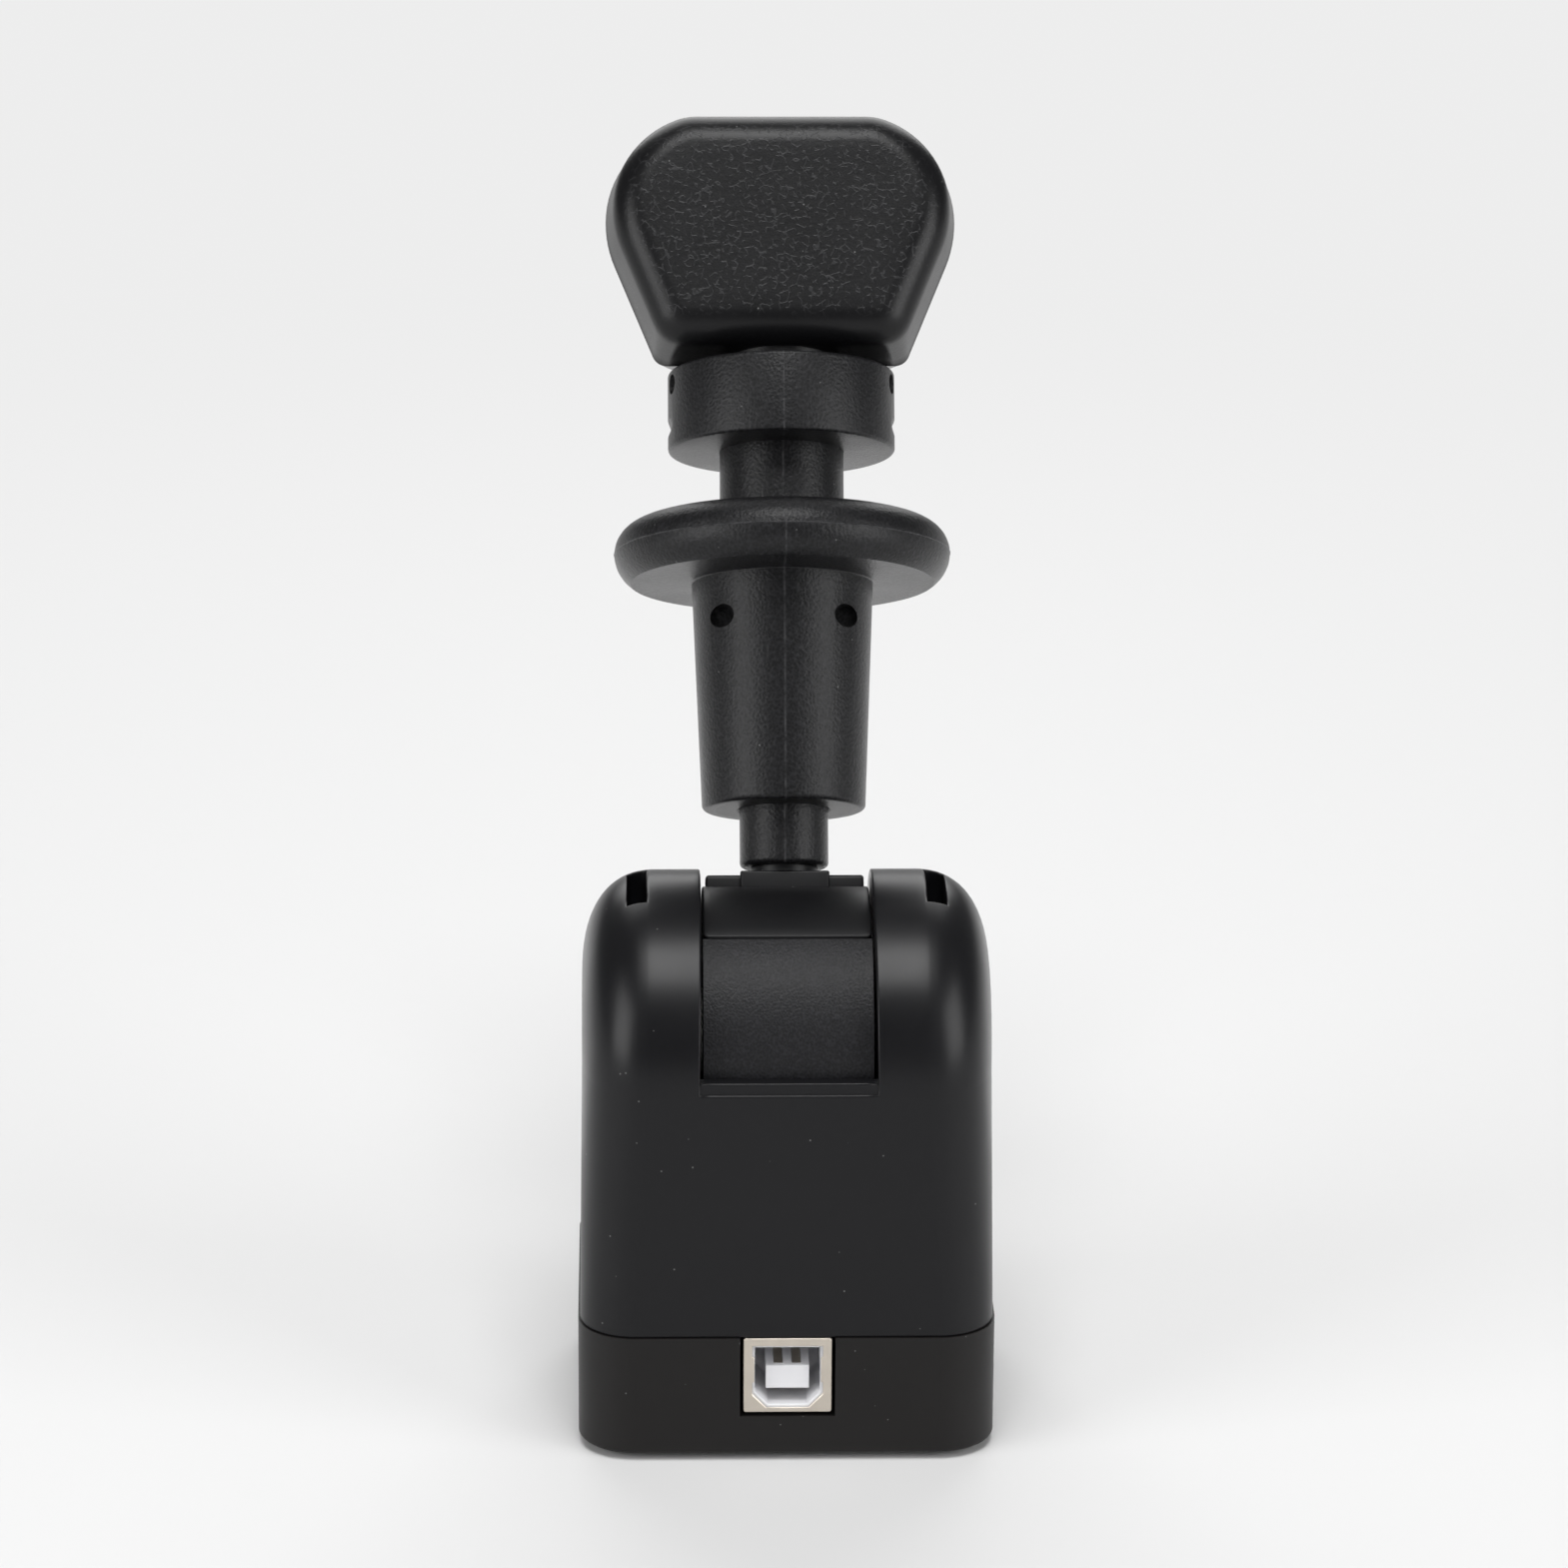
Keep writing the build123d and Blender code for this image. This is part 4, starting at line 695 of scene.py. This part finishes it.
def slot_grids(t, share):
    """The slot's ends with the strip under the ledge and the ledge, its deck and its side wall."""
    y, rise = np.array([
        (SHELL_RADIUS, 0), (SHELL_RADIUS * np.cos(t[1]), LEDGE_OUTER), (LEDGE_HALF_Y, LEDGE_OUTER),
        (LEDGE_HALF_Y, LEDGE_INNER), (BAY_HALF_Y, LEDGE_INNER), (BAY_HALF_Y, 0),
        (BAY_HALF_Y, DECK_Z - PIVOT_Z)]).T
    ends = [strip(-y, PIVOT_Z + rise, share), strip(y, PIVOT_Z + rise, share)]
    inner = -BAY_HALF_Y * np.cos(t[1:-1]) / np.cos(t[1])
    knee = inner * LEDGE_HALF_Y / BAY_HALF_Y
    shelf = knee * LEDGE_SHELF
    shelf[[0, -1]] = knee[[0, -1]]
    level = np.full(len(inner), PIVOT_Z + LEDGE_INNER)
    low = level.copy()
    low[[0, -1]] = PIVOT_Z + LEDGE_OUTER
    pivot, deck = np.full_like(level, PIVOT_Z), np.full_like(level, DECK_Z)
    crest_y = -SHELL_RADIUS * np.cos(t[1:-1])
    crest_z = PIVOT_Z + SHELL_RADIUS * np.sin(t[1:-1])
    y = np.stack([crest_y, shelf, knee, inner, inner, inner])
    z = np.stack([crest_z, low, level, level, pivot, deck])
    return [*ends, strip(inner, deck, share), np.stack([slot_half(z), y, z], -1)]


def housing_mesh():
    """The outer skin, the slot with its ledges and bay, the vents and the lower face.

    The round top is the profile rho(x) turned about the pivot's axis, with
    (x, -rho cos t, pivot + rho sin t) for t from 0 at the front to 180 at the back. The
    profile is flat beside the slot, a quarter of |x / a| ** n + |y / b| ** n = 1 at the
    cheek's edge, and runs down the side to the axis. With n over 2 it leaves the flat
    without a jump in its curvature. The skirt joins the plan at the pivot to the round
    plan at the seam, where n is 2, by straight lines.
    """
    first = np.degrees(np.arcsin(LEDGE_OUTER / SHELL_RADIUS))
    vent = 90 - VENT_END
    crest = np.linspace(vent, 90, CREST_STEPS)
    front = np.concatenate([[0], np.linspace(first, vent, 18), crest[1:]])
    t = np.radians(np.concatenate([front, 180 - front[-2::-1]]))
    across_size, radial_size = CORNER_ACROSS * CORNER_SPREAD, CORNER_RADIAL * CORNER_SPREAD
    flat = SHELL_HALF_X - across_size
    ends = (np.array([VENT_INNER, VENT_INNER + VENT_WIDTH]) - flat) / across_size
    first_phi, last_phi = np.arcsin(ends ** (CORNER_POWER / 2))
    spans = ((0, first_phi, VENT_STEPS), (first_phi, last_phi, VENT_STEPS),
             (last_phi, np.pi / 2, 16))
    phi = np.concatenate([np.linspace(*span)[1:] for span in spans])
    sine, cosine = np.sin(phi), np.cos(phi)
    share = np.linspace(0, 1, FLAT_STEPS)
    side = np.linspace(1, 0, 5)[1:]

    # round top of one cheek
    corner_rho = SHELL_RADIUS - radial_size
    rho_corner = corner_rho + radial_size * bulge(cosine, CORNER_POWER)
    rho = np.concatenate([np.full(len(share), SHELL_RADIUS), rho_corner, corner_rho * side])
    x_corner = flat + across_size * bulge(sine, CORNER_POWER)
    x_side = np.full(len(side), SHELL_HALF_X)
    edge = slot_half(PIVOT_Z + SHELL_RADIUS * np.sin(t))[:, None]
    beyond = np.tile(np.concatenate([x_corner, x_side]), (len(t), 1))
    x = np.concatenate([edge + (flat - edge) * share, beyond], 1)
    y = -rho * np.cos(t)[:, None]
    z = PIVOT_Z + rho * np.sin(t)[:, None]
    cheek = np.stack([x, y, z], -1)
    row0 = len(front) - CREST_STEPS
    row1 = len(t) - 1 - row0
    col0 = len(share) + VENT_STEPS - 2
    col1 = col0 + VENT_STEPS - 1
    crown = cheek[row0:row1 + 1]
    grids = [cheek[:row0 + 1], cheek[row1:], crown[:, :col0 + 1], crown[:, col1:]]

    # vent and skirt
    grids += vent_grids(crown[:, col0:col1 + 1])
    w = np.linspace(0, 1, 10)[:, None]
    half_x = SHELL_HALF_X + w * DRAFT_GROWTH
    half_y = SHELL_RADIUS + w * DRAFT_GROWTH
    corner_x = across_size + w * (SEAM_CORNER - across_size)
    corner_y = radial_size + w * (SEAM_CORNER - radial_size)
    power = CORNER_POWER + w * (2 - CORNER_POWER)
    beside = SLOT_PIVOT + (flat - SLOT_PIVOT) * share
    run = np.concatenate([SLOT_PIVOT * share[:-1], beside]) / flat
    x_front = (half_x - corner_x) * run
    x_round = half_x - corner_x + corner_x * bulge(sine, power)
    y_round = half_y - corner_y + corner_y * bulge(cosine, power)
    x = np.concatenate([x_front, x_round, half_x + 0 * side], 1)
    y = np.concatenate([half_y + 0 * run, y_round, (half_y - corner_y) * side], 1)
    z = np.broadcast_to(PIVOT_Z + w * (SEAM_Z - PIVOT_Z), x.shape)
    skirt = np.stack([x, -y, z], -1)
    back = skirt[:, -2::-1] * np.array([1.0, -1.0, 1.0])
    skirt = np.concatenate([skirt, back], 1)
    grids.append(skirt)
    seam = skirt[-1:]
    scale = np.array([1.0, 0.9, 0.5, 0.0])[:, None, None]
    grids.append(seam * np.array([1.0, 1.0, 0.0]) * scale + np.array([0.0, 0.0, SEAM_Z]))
    grids += slot_grids(t, share)
    return mesh_from("housing", both_sides(grids))


# Cover with its block and wings

def cover_mesh():
    """A rectangle with round corners wrapped round the pivot, and the pads at the stem's foot.

    A point (x, s) of the flat outline goes to (x, R sin(s / C), R cos(s / C)), where C
    is the cover's outer radius and R the radius that the edge's section gives.
    """
    inner = COVER_RADIUS - COVER_THICKNESS
    edge = arc((COVER_EDGE, COVER_RADIUS - COVER_EDGE), COVER_EDGE, 180, 90, 5)
    inward = np.linspace(1, 0, 13)
    inset = np.concatenate([[0.0], edge[:, 0], np.full(len(inward) - 1, COVER_EDGE)])
    radius = np.concatenate([[inner], edge[:, 1], np.full(len(inward) - 1, COVER_RADIUS)])
    fade = np.concatenate([np.ones(len(edge) + 1), inward[1:]])
    run = COVER_RADIUS * np.radians(COVER_HALF_ANGLE)
    outer = frame_loop(COVER_HALF_X - inset, run - inset, COVER_CORNER - inset, steps=7, side=24)
    outer = outer * fade[:, None, None]
    under = outer[:1] * inward[:, None, None]
    grids = []
    for loops, r in ((outer, radius[:, None]), (under, inner)):
        a = loops[..., 1] / COVER_RADIUS
        r = np.broadcast_to(r, a.shape)
        grids.append(lean(np.stack([loops[..., 0], r * np.sin(a), r * np.cos(a)], -1)))
    root = inner + COVER_THICKNESS * PAD_ROOT
    pads = ((WING_HALF, WING_TOP, WING_EDGE), (BLOCK_HALF, BLOCK_TOP, BLOCK_EDGE))
    for half, top, turn in pads:
        corner = arc((turn, top - turn), turn, 180, 90, 5)
        grids.append(lean(pad(half, PAD_CORNER, np.concatenate([[(0.0, root)], corner]))))
    foot = BLOCK_TOP - SEAT_SINK
    seat = rounded([(SEAT_RADIUS, foot), (SEAT_RADIUS, SEAT_TOP), (0, SEAT_TOP)], [0.1])
    grids.append(lean(turned(seat, flash=False)))
    return mesh_from("cover", closed_grids=grids)


# Stem

def stem_mesh():
    """Rod, neck and spigot as one turned bar, with the slot for the cross pin cut through it."""
    root = SEAT_TOP - ROOT_DEPTH
    outline = [(0, root), (ROOT_RADIUS, root), (ROOT_RADIUS, SEAT_TOP), (ROD_RADIUS, SEAT_TOP),
               (ROD_RADIUS, NECK_START), (NECK_RADIUS, NECK_START), (NECK_RADIUS, BAND_END),
               (SPIGOT_RADIUS, BAND_END), (SPIGOT_RADIUS, SPIGOT_END), (0, SPIGOT_END)]
    profile = rounded(outline, [0, 0, 0.7, 0, 0.3, 0.2, 0, 0.3])
    body = mesh_from("stem", closed_grids=[lean(turned(profile))], values=[mould_line_highlight(profile)])
    size = np.array([0.0, 1.0, 1.0, 0.0])
    loops = frame_loop(2 * ROD_RADIUS * size, PIN_SLOT_HALF * size, 0.0, steps=2, side=1)
    slot = at_heights(loops, np.repeat(PIN_SLOT, 2))
    return cut(body, [mesh_from("slot", closed_grids=[lean(slot)])])


# Lift collar

def collar_mesh():
    """The tapered sleeve with its flange, turned from one closed outline.

    The flange's rim is two arcs that meet upright at the widest line, where a thin
    ridge stands. An arc to a point d inside and h away from the widest line has the
    radius (d * d + h * h) / (2 * d).
    """
    low_d, low_h = FLANGE_RADIUS - FLANGE_FLAT, FLANGE_PARTING - FLANGE_START
    top_d, top_h = FLANGE_RADIUS - FLANGE_TOP_FLAT, FLANGE_TOP - FLANGE_PARTING
    low_r = (low_d ** 2 + low_h ** 2) / (2 * low_d)
    top_r = (top_d ** 2 + top_h ** 2) / (2 * top_d)
    low_end = -np.degrees(np.arcsin(low_h / low_r))
    top_end = np.degrees(np.arcsin(top_h / top_r))
    sleeve = rounded([(SLEEVE_BORE, SLEEVE_START), (SLEEVE_LOW, SLEEVE_START),
                      (SLEEVE_TOP, FLANGE_START), (FLANGE_FLAT, FLANGE_START)], [0.7, 0.25])
    under = arc((FLANGE_RADIUS - low_r, FLANGE_PARTING), low_r, low_end, -RING_GAP, 12)
    at = np.array([-1, -0.5, 0, 0.5, 1])
    ridge = FLANGE_RADIUS + RING_HEIGHT * (1 - np.abs(at))
    line = np.stack([ridge, FLANGE_PARTING + RING_HALF * at], -1)
    over = arc((FLANGE_RADIUS - top_r, FLANGE_PARTING), top_r, RING_GAP, top_end, 14)
    inside = rounded([(FLANGE_TOP_FLAT, FLANGE_TOP), (GUIDE_RADIUS, FLANGE_TOP),
                      (GUIDE_RADIUS, GUIDE_START), (SLEEVE_BORE, GUIDE_START),
                      (SLEEVE_BORE, SLEEVE_START)], [0.25, 0, 0])
    profile = np.concatenate([sleeve, under[1:], line, over, inside[1:]])
    marks = mould_line_highlight(profile, [FLANGE_PARTING])
    marks[profile[:, 1] > FLANGE_PARTING + 2 * RING_WIDTH] = 0
    body = mesh_from("collar", closed_grids=[lean(turned(profile))], values=[marks])
    x, z, r = SLEEVE_HOLE
    holes = [bar((sx * x, sy * SLEEVE_HOLE_STOP, z), (sx * x, sy * CUT_REACH, z), r)
             for sx in (-1, 1) for sy in (-1, 1)]
    return cut(body, holes)


def pressed_spring():
    """The return spring, copied from the CAD node onto the collar with a mesh of its own; where it
    would be anchored and how much the lift would shorten it are worked out but not used.
    """
    mesh = weld(frame["nodes"]["lift_spring"].data.copy())
    made = piece("return_spring", mesh, "collar", "spring_steel", ["lift_spring"])
    upright, foot = lean([(0, 0, 1), (0, 0, 0)])
    axis = upright - foot
    heights = np.array([v.co[:] for v in mesh.vertices]) / MM @ axis
    low, high = heights.min(), heights.max()
    anchor = foot + axis * (low - foot @ axis)
    tuple(anchor * MM)
    1 - LIFT / (high - low)
    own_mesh(made)


def band_mesh():
    """The collar under the knob, with the recesses of its cross pin and a scallop on each side."""
    profile = rounded([(BAND_BORE, BAND_START), (BAND_RADIUS, BAND_START), (BAND_RADIUS, BAND_END),
                       (BAND_BORE, BAND_END), (BAND_BORE, BAND_START)], [0.5, 0.5, 0])
    body = mesh_from("band", closed_grids=[lean(turned(profile))], values=[mould_line_highlight(profile)])
    z, r, depth, front = BAND_PIN
    cutters = [bar((s * depth, -front, z), (s * CUT_REACH, -front, z), r) for s in (-1, 1)]
    z, r, x, half = BAND_SCALLOP
    cutters += [bar((s * x, -half, z), (s * x, half, z), r) for s in (-1, 1)]
    return cut(body, cutters)


# Knob

def knob_outline(inset, foot):
    """Rows of the knob's outline (x, height), each taken in by its inset, with its own foot radius.

    From the middle of the foot: the foot line, the foot's arc, the sloping side, the
    waist's arc to the widest line, two arcs over the shoulder, and the top line.
    """
    inset, foot = np.asarray(inset, float)[:, None], np.asarray(foot, float)[:, None]
    slope = np.radians(KNOB_SLOPE)
    across, over = KNOB_HALF_X - KNOB_TOP_HALF, KNOB_DROP - KNOB_TIGHT
    loose = (across ** 2 + over ** 2 - KNOB_TIGHT ** 2) / (2 * (across - KNOB_TIGHT))
    waist = KNOB_HEIGHT - KNOB_DROP
    bend = np.arctan2(over, KNOB_TOP_HALF - KNOB_HALF_X + loose)

    def bow(x, z, radius, start, end, count):
        """Rows of points on arcs round (x, z), whose radii are a column."""
        a = np.linspace(start, end, count)
        return np.stack([x + radius * np.cos(a), z + radius * np.sin(a)], -1)

    waist_bow = bow(KNOB_HALF_X - KNOB_WAIST, waist, KNOB_WAIST - inset, -slope, 0, 7)
    end = waist_bow[:, 0]
    foot_x = end[:, :1] - (end[:, 1:] - inset) * np.tan(slope)
    centre_x = foot_x - foot * np.tan((np.pi / 2 - slope) / 2)
    foot_bow = bow(centre_x, inset + foot, foot, -np.pi / 2, -slope, 8)
    share = np.linspace(0, 1, 8)[:-1]
    foot_line = np.stack([centre_x * share, inset + 0 * centre_x * share], -1)
    rise = np.linspace(0, 1, 9)[1:-1, None]
    side = foot_bow[:, -1:] * (1 - rise) + end[:, None] * rise
    loose_bow = bow(KNOB_HALF_X - loose, waist, loose - inset, 0, bend, 16)[:, 1:]
    centre_z = KNOB_HEIGHT - KNOB_TIGHT
    tight_bow = bow(KNOB_TOP_HALF, centre_z, KNOB_TIGHT - inset, bend, np.pi / 2, 6)[:, 1:]
    inward = np.linspace(1, 0, 9)[1:, None]
    top = tight_bow[:, -1:] * np.hstack([inward, np.ones_like(inward)])
    right = np.concatenate([foot_line, foot_bow, side, waist_bow, loose_bow, tight_bow, top], 1)
    left = right[:, -2:0:-1] * np.array([-1, 1])
    return np.concatenate([right, left], 1)


def knob_mesh(side):
    """One half of the knob: its outline carried along the section from the parting to the face."""
    draft = np.radians(KNOB_DRAFT)
    level = KNOB_HALF_Y - KNOB_ROUND
    centre = (level * np.sin(draft) + KNOB_ROUND) / np.cos(draft)
    a = np.radians(np.linspace(KNOB_DRAFT, 90, 16))
    lip = np.array([(3.0, 0.02), (0.28, 0.02), (0.1, 0.08), (0.0, 0.3)])  # inset and depth
    wall = np.linspace(0.5, 7, 5)
    inset = np.concatenate([lip[:, 0], wall * np.tan(draft), centre - KNOB_ROUND * np.cos(a)])
    depth = np.concatenate([lip[:, 1], wall, level + KNOB_ROUND * np.sin(a)])
    spread = KNOB_FOOT + (KNOB_FACE_FOOT - KNOB_FOOT) * depth / KNOB_HALF_Y
    foot = np.maximum(spread - np.maximum(inset - depth * np.tan(draft), 0), KNOB_LEAST_FOOT)
    rows = knob_outline(inset, foot)
    middle = np.array([0.0, KNOB_HEIGHT * KNOB_MIDDLE])
    shrink = np.linspace(1, 0, 7)[1:, None, None]
    face = middle + (rows[-1:] - middle) * shrink
    cap = middle + (rows[:1] - middle) * np.array([0.0, 0.5])[:, None, None]
    rows = np.concatenate([cap, rows, face])
    depth = np.concatenate([np.full(2, depth[0]), depth, np.full(6, depth[-1])])
    depth = np.broadcast_to(depth[:, None], rows.shape[:2])
    points = lean(np.stack([rows[..., 0], side * depth, KNOB_START + rows[..., 1]], -1))
    above = np.clip((rows[..., 1] - KNOB_BARE) / KNOB_FADE, 0, 1)
    facing = np.clip((depth - KNOB_HALF_Y + KNOB_RIM) / KNOB_RIM_FADE, 0, 1)
    low, high = BAND_END + KNOB_BOSS_GAP, KNOB_START + KNOB_BOSS_SINK
    boss = rounded([(SPIGOT_RADIUS, low), (KNOB_BOSS, low), (KNOB_BOSS, high),
                    (SPIGOT_RADIUS, high), (SPIGOT_RADIUS, low)], [0.2, 0, 0])
    start = 0 if side < 0 else 180
    half = turned(boss, np.radians(np.linspace(start - 90, start + 90, 33)), flash=False)
    return mesh_from("knob", [lean(half)], [points], [0.0, above * facing])


housing = piece("housing", housing_mesh(), "base", "shell_black", ["housing_shell"])
break_edges(housing, EDGE_BREAK, 3, SHARP, whole=False)
piece("cover", cover_mesh(), "lever", "cover_black", ["drum_cover"])
piece("stem", stem_mesh(), "lever", "lever_black", ["lever_stem"])
piece("collar", collar_mesh(), "collar", "lever_black", ["lift_collar"])
piece("knob_band", band_mesh(), "lever", "lever_black", ["knob_collar"])
piece("knob_rear", knob_mesh(-1), "lever", "knob_black", ["knob_shell_rear"])
piece("knob_front", knob_mesh(1), "lever", "knob_black", ["knob_shell_front"])
edged_copy("socket_frame", "usb_shell", "base", "socket_metal", FRAME_EDGE)
edged_copy("socket_insert", "usb_insert", "base", "socket_white", INSERT_EDGE)
edged_copy("socket_blades", "usb_contacts", "base", "contact", BLADE_EDGE)
pressed_spring()


# Camera

def place_camera():
    """A camera at the fitted distance from the target, rolled about its own axis."""
    el, yaw, roll = np.radians([CAMERA_ELEVATION, CAMERA_YAW, CAMERA_ROLL])
    back = np.array([np.sin(yaw) * np.cos(el), -np.cos(yaw) * np.cos(el), np.sin(el)])
    right = np.cross(-back, (0, 0, 1))
    right /= np.linalg.norm(right)
    up = np.cross(right, -back)
    right, up = np.cos(roll) * right - np.sin(roll) * up, np.sin(roll) * right + np.cos(roll) * up
    spot = (np.array(CAMERA_TARGET) + back * CAMERA_DISTANCE) * MM
    lens = bpy.data.cameras.new("camera")
    lens.lens = CAMERA_LENS
    lens.sensor_width = 36.0
    made = bpy.data.objects.new("camera", lens)
    bpy.context.scene.collection.objects.link(made)
    turn = Matrix((right, up, back)).transposed().to_4x4()
    made.matrix_world = Matrix.Translation(Vector(spot)) @ turn
    bpy.context.scene.camera = made


# Studio

def softbox(name, place, size, power, aim):
    """A rectangular lamp that faces a point and isn't seen itself."""
    data = bpy.data.lights.new(name, "AREA")
    data.shape = "RECTANGLE"
    data.size, data.size_y = size
    data.energy = power
    made = bpy.data.objects.new(name, data)
    bpy.context.scene.collection.objects.link(made)
    made.location = place
    made.rotation_euler = (Vector(aim) - Vector(place)).to_track_quat("-Z", "Y").to_euler()
    made.visible_camera = False


def pale_floor():
    """A pale floor that keeps the object's shadow and fades to an even pale tone away from it."""
    mesh = bpy.data.meshes.new("floor")
    signs = ((-1, -1), (1, -1), (1, 1), (-1, 1))
    corners = [(sx * FLOOR_HALF, sy * FLOOR_HALF, 0) for sx, sy in signs]
    mesh.from_pydata(corners, [], [(0, 1, 2, 3)])
    floor = bpy.data.objects.new("floor", mesh)
    bpy.context.scene.collection.objects.link(floor)
    t = Tree("floor")
    away = t.node("ShaderNodeVectorMath", {"operation": "LENGTH"}, [t.place()], output="Value")
    rays = ("Is Camera Ray", "Is Glossy Ray", "Is Transmission Ray")
    seen = sum(t.node("ShaderNodeLightPath", output=ray) for ray in rays)
    fade = away.smooth(*FLOOR_FADE) * seen
    even = t.node("ShaderNodeEmission", {}, {"Color": (*[FAR_TONE] * 3, 1), "Strength": 1.0})
    t.finish(Base_Color=(*[FLOOR_TONE] * 3, 1), Roughness=0.9)
    shown = t.node("ShaderNodeMixShader", {}, {0: fade, 1: Value(t, t.shader.outputs[0]), 2: even})
    t.links.new(shown.socket, t.nodes["Material Output"].inputs["Surface"])
    mesh.materials.append(t.material)


def studio():
    """The floor, a pale surround, soft lamps on four sides and a low one that lights from below."""
    pale_floor()
    world = bpy.data.worlds.new("surround")
    bpy.context.scene.world = world
    world.use_nodes = True
    background = world.node_tree.nodes["Background"]
    background.inputs["Color"].default_value = (1, 1, 1, 1)
    background.inputs["Strength"].default_value = SURROUND
    for name, lamp in LAMPS.items():
        softbox(name, *lamp)


place_camera()
studio()
bpy.context.scene.view_settings.view_transform = "Standard"
